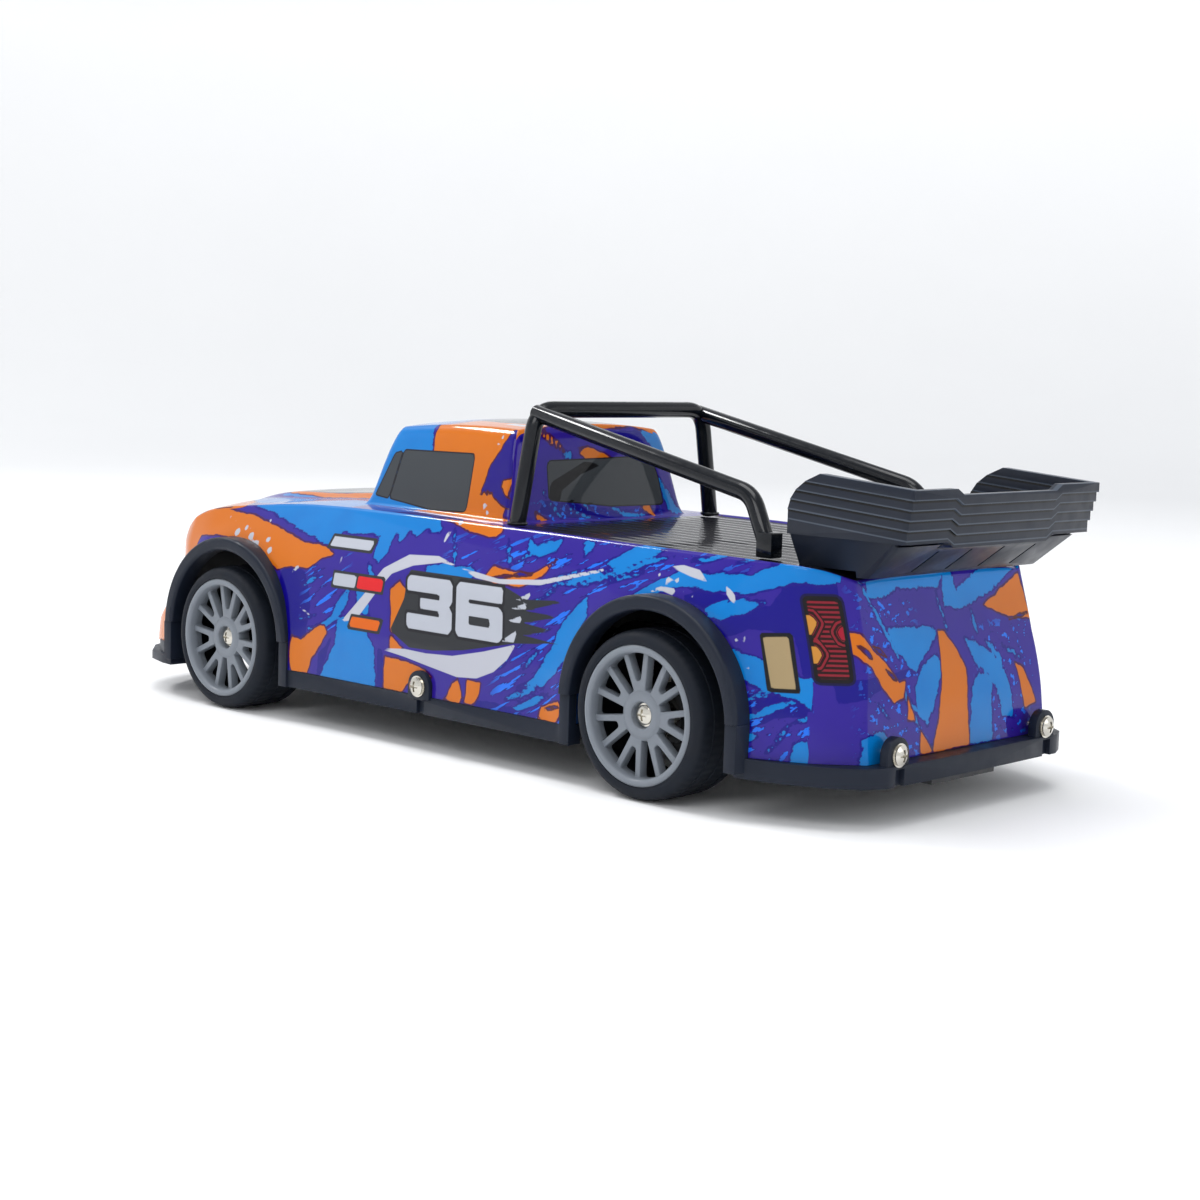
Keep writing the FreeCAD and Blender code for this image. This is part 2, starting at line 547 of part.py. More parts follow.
def gear_centre():
    """Distance between the spur gear's and the pinion's axes."""
    return 0.5 * GEAR_MODULE * (SPUR_TEETH + PINION_TEETH) + 0.02


def motor():
    y = -gear_centre()
    can = rod((MOTOR_X[0], y, Z_AXLE), (MOTOR_X[1], y, Z_AXLE), MOTOR_R)
    can = safe_fillet(can, 1.0, lambda e: True)
    nose = rod((MOTOR_X[0] - 1.6, y, Z_AXLE), (MOTOR_X[0] + 1, y, Z_AXLE), 4.0)
    tabs = [box((MOTOR_X[1] - 1, MOTOR_X[1] + 3), (y + s * 5 - 1, y + s * 5 + 1), (Z_AXLE - 0.3, Z_AXLE + 0.3))
            for s in (1, -1)]
    whole = fuse([can, nose] + tabs)
    return whole.cut(rod((MOTOR_X[0] - 3, y, Z_AXLE), (MOTOR_X[0] + 12, y, Z_AXLE), 1.15 + RUN))


def battery_pack():
    pack = box(*BATTERY)
    pack = safe_fillet(pack, 3.0, lambda e: e.BoundBox.XLength > 50)
    lead = box((BATTERY[0][0] - 5, BATTERY[0][0] + 1), (14, 24), (14, 22))
    strap = box((0, 10), (BATTERY[1][0], BATTERY[1][1]), (26.5, 28.0))
    return fuse([pack, lead, strap])


def receiver_box():
    case = safe_fillet(box(*RECEIVER), 1.5, lambda e: e.BoundBox.ZMin > RECEIVER[2][1] - 0.1)
    fins = [box((x, x + 1.2), (-34, -12), (RECEIVER[2][1] - 0.5, RECEIVER[2][1] + 4)) for x in range(-4, 12, 3)]
    return fuse([case] + fins)


def steering_servo():
    case = safe_fillet(box(*SERVO), 1.0, lambda e: e.BoundBox.ZMin > SERVO[2][1] - 0.1)
    boss = rod((HORN_AXIS[0], HORN_AXIS[1], SERVO[2][1] - 1), (HORN_AXIS[0], HORN_AXIS[1], 28.2), 3.4)
    spindle = rod((HORN_AXIS[0], HORN_AXIS[1], 28.0), (HORN_AXIS[0], HORN_AXIS[1], 32.6), 1.6)
    return fuse([case, boss, spindle])


def power_switch():
    (x0, _), (y0, y1) = SWITCH_SLOT
    knob = box((x0 + 0.3, x0 + 5.3), (y0 + 0.3, y1 - 0.3), (8.25, 9.85))
    ribs = [box((x0 + 1.0 + 1.4 * k, x0 + 1.5 + 1.4 * k), (y0, y1), (8.0, 8.6)) for k in range(3)]
    for rib in ribs:
        knob = knob.cut(rib)
    return knob


# ---- driveline -----------------------------------------------------------------------------
DIFF_R, CUP_R, CUP_BORE, JOINT_R = 3.4, 4.2, 3.15, 2.85
CUP_END = 17.4
BEVEL_R, BEVEL_RATIO = (6.6, 9.3), 3.0  # crown gear's inner and outer radius, and its ratio to the pinion


def involute_gear(teeth, x, centre_y, phase):
    """Spur gear along X with involute flanks, backlash taken off each tooth."""
    pitch = 0.5 * GEAR_MODULE * teeth
    base, tip, root = pitch * math.cos(math.radians(20)), pitch + GEAR_MODULE, pitch - 1.3 * GEAR_MODULE
    inv20 = math.tan(math.radians(20)) - math.radians(20)
    half = math.pi / (2 * teeth) - GEAR_BACKLASH / (2 * pitch)

    def flank(r):
        if r <= base:
            return half + inv20
        a = math.acos(base / r)
        return half + inv20 - (math.tan(a) - a)
    radii = [root] + [max(base, root) + (tip - max(base, root)) * k / 4 for k in range(5)]
    points = []
    for t in range(teeth):
        mid = phase + 2 * math.pi * t / teeth
        for r in radii:
            points.append((r, mid - flank(r)))
        for r in reversed(radii):
            points.append((r, mid + flank(r)))
    outline = [V(x[0], centre_y + r * math.cos(a), Z_AXLE + r * math.sin(a)) for r, a in points]
    return Part.Face(Part.makePolygon(outline + [outline[0]])).extrude(V(x[1] - x[0], 0, 0))


def spur_gear():
    gear = involute_gear(SPUR_TEETH, GEAR_X, 0.0, math.pi)
    for k in range(5):
        a = 2 * math.pi * k / 5
        c = (GEAR_X[0] - 1, 5.9 * math.cos(a), Z_AXLE + 5.9 * math.sin(a))
        gear = gear.cut(rod(c, (GEAR_X[1] + 1, c[1], c[2]), 1.7))
    return gear.cut(rod((GEAR_X[0] - 1, 0, Z_AXLE), (GEAR_X[1] + 1, 0, Z_AXLE), SHAFT_R))


def motor_pinion():
    y = -gear_centre()
    gear = involute_gear(PINION_TEETH, GEAR_X, y, math.pi / PINION_TEETH)
    shaft = rod((GEAR_X[0] - 0.6, y, Z_AXLE), (MOTOR_X[0] + 10, y, Z_AXLE), 1.15)
    return fuse([gear, shaft])


def centre_shaft():
    x0, x1 = X_AXLE["r"] + BEVEL_R[0], X_AXLE["f"] - BEVEL_R[0]
    shaft = rod((x0, 0, Z_AXLE), (x1, 0, Z_AXLE), SHAFT_R)
    near, far = BEVEL_R[0] / BEVEL_RATIO, BEVEL_R[1] / BEVEL_RATIO
    long = BEVEL_R[1] - BEVEL_R[0]
    pinions = [Part.makeCone(near, far, long, V(x0, 0, Z_AXLE), V(1, 0, 0)),
               Part.makeCone(near, far, long, V(x1, 0, Z_AXLE), V(-1, 0, 0))]
    return fuse([shaft] + pinions)


def diff_output(end):
    """Cross shaft of one axle with its drive cups."""
    x = X_AXLE[end]
    parts = [rod((x, -WAIST - 0.4, Z_AXLE), (x, WAIST + 0.4, Z_AXLE), DIFF_R),
             rod((x, -5, Z_AXLE), (x, 3, Z_AXLE), 5.4)]
    near, far = (r / BEVEL_RATIO + 0.2 for r in BEVEL_R)
    crown = turned([(near, 0), (near, BEVEL_R[0]), (far, BEVEL_R[1]), (far + 1.8, BEVEL_R[1]), (far + 1.8, 0)])
    crown.translate(V(x, 0, Z_AXLE))
    parts.append(crown)
    for s in (1, -1):
        parts.append(rod((x, s * (WAIST + 0.3), Z_AXLE), (x, s * CUP_END, Z_AXLE), CUP_R))
    whole = fuse(parts)
    for s in (1, -1):
        whole = whole.cut(rod((x, s * (HINGE_Y - 3.4), Z_AXLE), (x, s * 25, Z_AXLE), CUP_BORE))
    return whole


def half_shaft(end):
    """Dogbone between the drive cup and the wheel axle, left side."""
    x = X_AXLE[end]
    outer = KNUCKLE_Y if end == "r" else KINGPIN_Y
    return fuse([rod((x, HINGE_Y, Z_AXLE), (x, outer, Z_AXLE), 1.3),
                 ball((x, HINGE_Y, Z_AXLE), JOINT_R), ball((x, outer, Z_AXLE), JOINT_R)])


# ---- suspension ----------------------------------------------------------------------------
SPRING_Y, SPRING_R, SPRING_WIRE = 26.0, 3.4, 0.55
ARM_Z = (10.7, 13.3)


def lower_arm(end):
    x = X_AXLE[end]
    plate = plan([(x - 12.5, HINGE_Y + 0.5), (x - 6.2, 35.8), (x - 6.2, KNUCKLE_Y), (x - 3.4, KNUCKLE_Y),
                  (x - 3.4, 36.4), (x + 3.4, 36.4), (x + 3.4, KNUCKLE_Y), (x + 6.2, KNUCKLE_Y),
                  (x + 6.2, 35.8), (x + 12.5, HINGE_Y + 0.5)], ARM_Z)
    window = plan([(x - 6.5, 18.5), (x - 3.4, 32), (x + 1.6, 32), (x + 1.6, 18.5)], (5, 20))
    eye = rod((x - 14.2, HINGE_Y, LOWER_Z), (x + 14.2, HINGE_Y, LOWER_Z), 2.5)
    forks = [rod((x + a, KNUCKLE_Y, LOWER_Z), (x + b, KNUCKLE_Y, LOWER_Z), 2.3)
             for a, b in ((-6.2, -3.4), (3.4, 6.2))]
    seat = rod((x + 9, SPRING_Y, ARM_Z[0]), (x + 9, SPRING_Y, 14.2), 4.4)
    nub = rod((x + 9, SPRING_Y, 14.0), (x + 9, SPRING_Y, 16.6), 2.2)
    arm = fuse([plate.cut(window), eye, seat, nub] + forks)
    arm = arm.cut(rod((x - 15, HINGE_Y, LOWER_Z), (x + 15, HINGE_Y, LOWER_Z), PIN_R + RUN))
    return arm.cut(rod((x - 8, KNUCKLE_Y, LOWER_Z), (x + 8, KNUCKLE_Y, LOWER_Z), PIN_R + RUN))


def upper_link(end):
    x = X_AXLE[end]
    link = fuse([rod((x, HINGE_Y, UPPER_Z), (x, KNUCKLE_Y, UPPER_Z), 1.7),
                 rod((x - 3.9, HINGE_Y, UPPER_Z), (x + 3.9, HINGE_Y, UPPER_Z), 2.4),
                 rod((x - 2.2, KNUCKLE_Y, UPPER_Z), (x + 2.2, KNUCKLE_Y, UPPER_Z), 2.3)])
    link = link.cut(rod((x - 5, HINGE_Y, UPPER_Z), (x + 5, HINGE_Y, UPPER_Z), PIN_R + RUN))
    return link.cut(rod((x - 5, KNUCKLE_Y, UPPER_Z), (x + 5, KNUCKLE_Y, UPPER_Z), PIN_R + RUN))


def carrier_ends(x):
    """Tongue and pin at the lower arm, ears and pin at the upper link."""
    parts = [rod((x - 3.2, KNUCKLE_Y, LOWER_Z), (x + 3.2, KNUCKLE_Y, LOWER_Z), 2.2),
             box((x - 3.2, x + 3.2), (KNUCKLE_Y - 1.8, KNUCKLE_Y + 1.8), (LOWER_Z, 16.0)),
             rod((x - 6.2, KNUCKLE_Y, LOWER_Z), (x + 6.2, KNUCKLE_Y, LOWER_Z), PIN_R),
             rod((x - 5, KNUCKLE_Y, UPPER_Z), (x + 5, KNUCKLE_Y, UPPER_Z), PIN_R)]
    for a, b in ((-5.0, -2.5), (2.5, 5.0)):
        parts.append(box((x + a, x + b), (KNUCKLE_Y - 1.8, KNUCKLE_Y + 1.8), (28.0, UPPER_Z)))
        parts.append(rod((x + a, KNUCKLE_Y, UPPER_Z), (x + b, KNUCKLE_Y, UPPER_Z), 2.2))
    return parts


CARRIER_Z = (14.8, 28.4)


def steering_carrier():
    """C-shaped block that holds a front knuckle between its jaws."""
    x = X_AXLE["f"]
    web = box((x - 6.5, x + 6.5), (36.4, 38.6), CARRIER_Z)
    jaws = [box((x - 4.6, x + 4.6), (36.4, 45.6), z) for z in ((CARRIER_Z[0], 16.8), (26.6, CARRIER_Z[1]))]
    block = fuse([web] + jaws + carrier_ends(x))
    block = block.cut(rod((x, 30, Z_AXLE), (x, 39.5, Z_AXLE), 4.3))
    block = block.cut(rod((x, 30, Z_AXLE), (x, 50, Z_AXLE), 3.6))
    return block.cut(rod((x, KINGPIN_Y, CARRIER_Z[0] - 1), (x, KINGPIN_Y, CARRIER_Z[1] + 1), KINGPIN_R + RUN))


AXLE_R, AXLE_CUP_R, BEARING_Y, KINGPIN_R = 2.0, 4.0, 50.6, 1.5
HEX_Y, HEX_FLATS = (50.9, 54.4), 12.0


def knuckle():
    x = X_AXLE["f"]
    block = box((x - 5.8, x + 5.8), (41.6, BEARING_Y), (17.0, 26.4))
    block = safe_fillet(block, 1.2, lambda e: e.BoundBox.YLength > 5)
    pins = [rod((x, KINGPIN_Y, z0), (x, KINGPIN_Y, z1), KINGPIN_R) for z0, z1 in ((15.0, 17.6), (25.8, 28.2))]
    arm = fuse([box((x - STEER_ARM, x - 5), (KINGPIN_Y - 1.4, KINGPIN_Y + 1.4), (18.8, 21.0)),
                rod((x - STEER_ARM, KINGPIN_Y, 18.8), (x - STEER_ARM, KINGPIN_Y, 21.0), 2.2)])
    post = rod((x - STEER_ARM, KINGPIN_Y, 15.4), (x - STEER_ARM, KINGPIN_Y, 19.5), 0.9)
    whole = fuse([block, arm, post] + pins)
    return whole.cut(rod((x, 30, Z_AXLE), (x, 60, Z_AXLE), AXLE_CUP_R + RUN))


def rear_carrier():
    x = X_AXLE["r"]
    block = box((x - 6.5, x + 6.5), (37.4, BEARING_Y), CARRIER_Z)
    block = safe_fillet(block, 1.4, lambda e: e.BoundBox.YLength > 5)
    whole = fuse([block] + carrier_ends(x))
    return whole.cut(rod((x, 30, Z_AXLE), (x, 60, Z_AXLE), AXLE_CUP_R + RUN))


def coil(x, y, z, radius, wire, turns):
    """Compression spring with its axis along Z."""
    helix = Part.makeHelix((z[1] - z[0]) / turns, z[1] - z[0], radius)
    start = V(radius, 0, 0)
    ring = Part.Wire(Part.makeCircle(wire, start, V(0, 1, 0.25)))
    shape = Part.Wire(helix).makePipeShell([ring], True, True)
    shape.translate(V(x, y, z[0]))
    return shape


def spring(end):
    return coil(X_AXLE[end] + 9, SPRING_Y, (14.9, 39.8), SPRING_R, SPRING_WIRE, 7)


# ---- wheels --------------------------------------------------------------------------------
RIM_R, SPOKES = TYRE_SEAT_R, 14
FACE_R = 16.3                           # inside of the rim's outer ring, where the spokes end
SPOKE_Y = (55.6, 58.5)


def turned(profile):
    """Solid of revolution about the left wheel's axis from (y, radius) points."""
    points = [V(0, y, r) for y, r in profile]
    face = Part.Face(Part.makePolygon(points + [points[0]]))
    return face.revolve(V(0, 0, 0), V(0, 1, 0), 360)


def tyre(end):
    y0, y1 = Y_WHEEL_IN, Y_WHEEL_OUT
    r = TYRE_R
    ring = turned([(y0 + 0.2, TYRE_SEAT_R), (y0, TYRE_SEAT_R + 1.2), (y0 + 0.5, r - 2.0), (y0 + 2.6, r - 0.3),
                   (y0 + 6, r), (y1 - 6, r), (y1 - 2.6, r - 0.3), (y1 - 0.5, r - 2.0),
                   (y1 - 0.1, TYRE_SEAT_R + 1.4), (y1 - 0.5, TYRE_SEAT_R)])
    ring.translate(V(X_AXLE[end], 0, Z_AXLE))
    return ring


def spoke(angle):
    """One tapering spoke as a prism through the wheel's face."""
    def at(r, off):
        c, s = math.cos(angle), math.sin(angle)
        return (r * c - off * s, 0, r * s + off * c)
    outline = [at(5.0, -1.25), at(FACE_R, -1.0), at(FACE_R, 1.0), at(5.0, 1.25)]
    return prism(outline, V(0, SPOKE_Y[0], 0), V(0, SPOKE_Y[1] - SPOKE_Y[0], 0))


def rim(end):
    """Wheel rim: barrel, outer ring, spokes and hub."""
    y1 = Y_WHEEL_OUT
    barrel = turned([(Y_WHEEL_IN + 0.2, RIM_R), (Y_WHEEL_IN + 0.2, RIM_R - 1.0), (y1 - 5.4, RIM_R - 1.2),
                     (y1 - 3.6, FACE_R - 0.7), (y1 - 0.6, FACE_R - 0.3), (y1, FACE_R + 0.2), (y1, RIM_R - 0.5),
                     (y1 - 0.5, RIM_R)])
    hub = turned([(HEX_Y[1], AXLE_R + RUN), (HEX_Y[1], 6.6), (56.4, 7.2), (58.9, 6.8), (59.2, 6.2), (59.2, 3.6),
                  (56.6, 3.3), (56.6, AXLE_R + RUN)])
    spokes = [spoke(2 * math.pi * k / SPOKES) for k in range(SPOKES)]
    wheel = fuse([barrel, hub] + [s.cut(rod((0, 50, 0), (0, 65, 0), 4.6)) for s in spokes])
    wheel.translate(V(X_AXLE[end], 0, Z_AXLE))
    return wheel


def wheel_axle(end):
    """Stub axle with its inner cup and drive hex, and the screw that holds the wheel."""
    x = X_AXLE[end]
    joint_y = KNUCKLE_Y if end == "r" else KINGPIN_Y
    cup_start = joint_y - 3.0 if end == "r" else joint_y - 1.2
    shaft = rod((x, cup_start, Z_AXLE), (x, BEARING_Y, Z_AXLE), AXLE_CUP_R)
    stub = rod((x, BEARING_Y - 1, Z_AXLE), (x, 56.5, Z_AXLE), AXLE_R)
    a = HEX_FLATS / math.sqrt(3)
    corners = [(x + a * math.cos(math.radians(60 * k)), HEX_Y[0], Z_AXLE + a * math.sin(math.radians(60 * k)))
               for k in range(6)]
    hexagon = prism(corners, V(0, 0, 0), V(0, HEX_Y[1] - HEX_Y[0], 0))
    axle = fuse([shaft, stub, hexagon])
    axle = axle.cut(rod((x, cup_start - 1, Z_AXLE), (x, joint_y + 3.1, Z_AXLE), CUP_BORE))
    axle = axle.cut(rod((x, 50, Z_AXLE), (x, 60, Z_AXLE), 1.3))
    screw = pan_screw((x, 56.65, Z_AXLE), (0, 1, 0), 4.0)
    return Part.makeCompound([axle, screw])


# ---- steering ------------------------------------------------------------------------------
TIE_INNER_Y, TIE_Z = 19.0, 17.2


def steering_rack():
    x = RACK_X
    tie_x = X_AXLE["f"] - STEER_ARM
    bar = box((x - 1.8, x + 1.8), (-26, TIE_INNER_Y + 1.8), RACK_Z)
    parts = [bar]
    for s in (1, -1):
        y = s * TIE_INNER_Y
        parts.append(box((x, tie_x - 1.7), (y - 1.4, y + 1.4), RACK_Z))
        parts.append(rod((tie_x - 2.0, y, TIE_Z), (tie_x + 2.0, y, TIE_Z), 0.8))
    drive_pin = rod((x, HORN_AXIS[1], RACK_Z[1] - 0.5), (x, HORN_AXIS[1], 31.5), 1.0)
    return fuse(parts + [drive_pin])


def servo_horn():
    (hx, hy), z = HORN_AXIS, (28.5, 31.0)
    arm = plan([(hx, hy - 3.4), (hx + 8, hy - 2.9), (hx + 13.4, hy - 2.9), (hx + 13.4, hy + 2.9),
                (hx + 8, hy + 2.9), (hx, hy + 3.4)], z)
    horn = fuse([arm, rod((hx, hy, z[0]), (hx, hy, z[1] + 0.8), 4.2)])
    horn = horn.cut(box((hx + 8.6, hx + 14), (hy - 1.45, hy + 1.45), (25, 35)))
    return horn.cut(rod((hx, hy, 25), (hx, hy, 35), 1.6 + RUN))


def tie_rod():
    """Left tie rod: an eye on the rack's pin and a loose ring round the knuckle's post."""
    x = X_AXLE["f"] - STEER_ARM
    z = TIE_Z
    rod_part = rod((x, TIE_INNER_Y + 1.5, z), (x, KINGPIN_Y - 1.9, z), 0.95)
    eye = rod((x - 1.4, TIE_INNER_Y, z), (x + 1.4, TIE_INNER_Y, z), 1.6)
    ring = rod((x, KINGPIN_Y, z - 1.1), (x, KINGPIN_Y, z + 1.1), 2.9)
    part = fuse([rod_part, eye, ring])
    part = part.cut(rod((x - 3, TIE_INNER_Y, z), (x + 3, TIE_INNER_Y, z), 0.8 + RUN))
    return part.cut(rod((x, KINGPIN_Y, z - 3), (x, KINGPIN_Y, z + 3), 2.0))


# ---- write everything ----------------------------------------------------------------------
def corner_parts(end, side):
    tag = {"f": "front", "r": "rear"}[end] + "_" + {"l": "left", "r": "right"}[side]
    pieces = {"lower_arm": lower_arm(end), "upper_link": upper_link(end), "half_shaft": half_shaft(end),
              "spring": spring(end), "tyre": tyre(end), "rim": rim(end), "wheel_axle": wheel_axle(end),
              "hub_carrier": steering_carrier() if end == "f" else rear_carrier()}
    if end == "f":
        pieces["steering_knuckle"] = knuckle()
        pieces["tie_rod"] = tie_rod()
    for name, shape in pieces.items():
        save(f"{name}_{tag}", placed(shape, side))


def main():
    save("body_shell", screw_clearance(body_shell()))
    save("front_bumper", front_bumper())
    save("rear_bumper", rear_bumper())
    save("side_skirts", side_skirts())
    save("arch_trims", arch_trims())
    save("body_screws", body_screws())
    save("roll_cage", roll_cage())
    save("rear_wing", rear_wing())
    save("chassis_plate", chassis_plate())
    save("front_gearbox", gearbox("f"))
    save("rear_gearbox", gearbox("r"))
    save("hinge_pins", hinge_pins())
    save("motor", motor())
    save("battery_pack", battery_pack())
    save("receiver_box", receiver_box())
    save("steering_servo", steering_servo())
    save("power_switch", power_switch())
    save("centre_shaft", centre_shaft())
    save("spur_gear", spur_gear())
    save("motor_pinion", motor_pinion())
    save("front_diff_output", diff_output("f"))
    save("rear_diff_output", diff_output("r"))
    save("steering_rack", steering_rack())
    save("servo_horn", servo_horn())
    for end, side in CORNERS:
        corner_parts(end, side)


main()
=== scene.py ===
"""Looks of the remote control pickup racer: painted shell, moulded trim, wheels, cage and wing.

Lengths in this file are millimetres in the row frame (+X front, +Y left, +Z up) until a mesh is made.
"""

import math

import bmesh
import bpy
import numpy as np
from mathutils import Matrix, Vector


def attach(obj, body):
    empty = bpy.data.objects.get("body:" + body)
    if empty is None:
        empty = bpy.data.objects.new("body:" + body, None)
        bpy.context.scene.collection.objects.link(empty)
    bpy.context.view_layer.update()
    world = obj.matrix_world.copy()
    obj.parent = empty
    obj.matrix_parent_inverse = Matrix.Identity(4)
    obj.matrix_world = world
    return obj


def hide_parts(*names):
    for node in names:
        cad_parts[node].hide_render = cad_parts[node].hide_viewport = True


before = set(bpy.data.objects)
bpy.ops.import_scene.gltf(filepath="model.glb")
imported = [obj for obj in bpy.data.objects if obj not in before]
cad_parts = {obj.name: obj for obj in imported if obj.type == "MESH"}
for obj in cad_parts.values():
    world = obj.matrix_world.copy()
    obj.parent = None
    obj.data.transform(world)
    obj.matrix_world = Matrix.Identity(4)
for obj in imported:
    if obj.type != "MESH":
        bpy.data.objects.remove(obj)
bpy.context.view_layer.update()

MM = 0.001
X_AXLE = {"front": 90.0, "rear": -84.0}
Z_AXLE = 22.0
ARCH_X, ARCH_Z, ARCH_CUT_R = (89.5, -86.0), 22.5, 29.0
SIDES = {"left": 1, "right": -1}
BOTTOM_Z = 15.7
SHELL_T = 1.1


# ---- numbers -------------------------------------------------------------------------------
def curve(x, table):
    """Smooth monotone reading of a table of (x, value) pairs, for scalars and arrays."""
    xs = np.array([p[0] for p in table], float)
    ys = np.array([p[1] for p in table], float)
    h = np.diff(xs)
    d = np.diff(ys) / h
    m = np.zeros(len(xs))
    m[0], m[-1] = d[0], d[-1]
    for i in range(1, len(xs) - 1):
        if d[i - 1] * d[i] > 0:
            m[i] = 2 * d[i - 1] * d[i] / (d[i - 1] + d[i])
    x = np.clip(np.asarray(x, float), xs[0], xs[-1])
    k = np.clip(np.searchsorted(xs, x, side="right") - 1, 0, len(h) - 1)
    t = (x - xs[k]) / h[k]
    return (ys[k] * (1 + 2 * t) * (1 - t) ** 2 + m[k] * h[k] * t * (1 - t) ** 2
            + ys[k + 1] * t * t * (3 - 2 * t) - m[k + 1] * h[k] * t * t * (1 - t))


def smooth(a, b, x):
    """0 below a, 1 above b, with soft ends (a may be the larger)."""
    t = np.clip((np.asarray(x, float) - a) / (b - a), 0, 1)
    return t * t * (3 - 2 * t)


def soft_min(a, b, k):
    h = np.clip(0.5 + 0.5 * (b - a) / k, 0, 1)
    return b * (1 - h) + a * h - k * h * (1 - h)


def soft_max(a, b, k):
    return -soft_min(-a, -b, k)


def inside(points, outline):
    """Signed distance of 2-D points to a closed outline, positive inside."""
    p = np.asarray(points, float)
    v = np.asarray(outline, float)
    best = np.full(len(p), 1e9)
    odd = np.zeros(len(p), bool)
    for a, b in zip(v, np.roll(v, -1, axis=0)):
        e = b - a
        w = p - a
        t = np.clip((w @ e) / max(e @ e, 1e-12), 0, 1)
        best = np.minimum(best, np.hypot(*(w - t[:, None] * e).T))
        crosses = (a[1] > p[:, 1]) != (b[1] > p[:, 1])
        rise = b[1] - a[1] if abs(b[1] - a[1]) > 1e-12 else 1e-12
        odd ^= crosses & (p[:, 0] < (b[0] - a[0]) * (p[:, 1] - a[1]) / rise + a[0])
    return np.where(odd, best, -best)


def rounded(outline, radius):
    """The outline with each corner replaced by a small curve that starts radius away from it."""
    v = np.asarray(outline, float)
    points = []
    for before, corner, after in zip(np.roll(v, 1, axis=0), v, np.roll(v, -1, axis=0)):
        lead, trail = before - corner, after - corner
        start = corner + lead * min(0.45, radius / np.hypot(*lead))
        end = corner + trail * min(0.45, radius / np.hypot(*trail))
        for t in np.linspace(0, 1, 6):
            points.append(start * (1 - t) ** 2 + corner * 2 * t * (1 - t) + end * t ** 2)
    return np.array(points)


def circle(cx, cy, r, n=20):
    turns = [2 * math.pi * k / n for k in range(n)]
    return [(cx + r * math.cos(a), cy + r * math.sin(a)) for a in turns]


# ---- meshes --------------------------------------------------------------------------------
def add(name, verts, faces, materials, body, replaces=()):
    """Makes a piece from millimetre vertices, rides it on a body and declares what it replaces."""
    mesh = bpy.data.meshes.new(name)
    mesh.from_pydata([tuple(c * MM for c in v) for v in verts], [], [tuple(f) for f in faces])
    mesh.validate()
    mesh.update()
    return declare(name, mesh, materials, body, replaces)


def declare(name, mesh, materials, body, replaces=()):
    piece = bpy.data.objects.new(name, mesh)
    bpy.context.scene.collection.objects.link(piece)
    mesh.materials.clear()
    for m in materials if isinstance(materials, (list, tuple)) else [materials]:
        mesh.materials.append(m)
    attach(piece, body)
    if replaces:
        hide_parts(*replaces)
    return piece


def applied(piece):
    """Bakes a piece's modifiers into its mesh."""
    bpy.context.view_layer.update()
    done = bpy.data.meshes.new_from_object(piece.evaluated_get(bpy.context.evaluated_depsgraph_get()))
    piece.modifiers.clear()
    piece.data = done
    return piece


def shade(piece, angle=40.0):
    """Smooth shading with creases sharper than the angle kept."""
    mesh = piece.data
    bm = bmesh.new()
    bm.from_mesh(mesh)
    for face in bm.faces:
        face.smooth = True
    limit = math.radians(angle)
    for edge in bm.edges:
        edge.smooth = len(edge.link_faces) != 2 or edge.calc_face_angle(0.0) < limit
    bm.to_mesh(mesh)
    bm.free()
    return piece


def broken_edges(piece, width, angle):
    """Bevels a piece's sharp edges and bakes the result."""
    bevel = piece.modifiers.new("edges", "BEVEL")
    bevel.width = width * MM
    bevel.segments = 2
    bevel.limit_method = "ANGLE"
    bevel.angle_limit = math.radians(angle)
    return applied(piece)


def softened(node, body, material, width=0.35):
    """A copy of a moulded CAD node with its sharp edges broken, standing for the node."""
    bm = bmesh.new()
    bm.from_mesh(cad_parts[node].data)
    bmesh.ops.remove_doubles(bm, verts=bm.verts, dist=0.00001)
    bmesh.ops.dissolve_limit(bm, angle_limit=math.radians(1.0), verts=bm.verts, edges=bm.edges)
    mesh = bpy.data.meshes.new(node + "_moulded")
    bm.to_mesh(mesh)
    bm.free()
    piece = declare(node + "_moulded", mesh, material, body, [node])
    return shade(broken_edges(piece, width, 28.0), 35.0)


# ---- materials -----------------------------------------------------------------------------
def linear(r, g, b):
    """Linear colour from 0-255 display values."""
    def one(c):
        c /= 255
        return c / 12.92 if c <= 0.04045 else ((c + 0.055) / 1.055) ** 2.4
    return (one(r), one(g), one(b), 1.0)


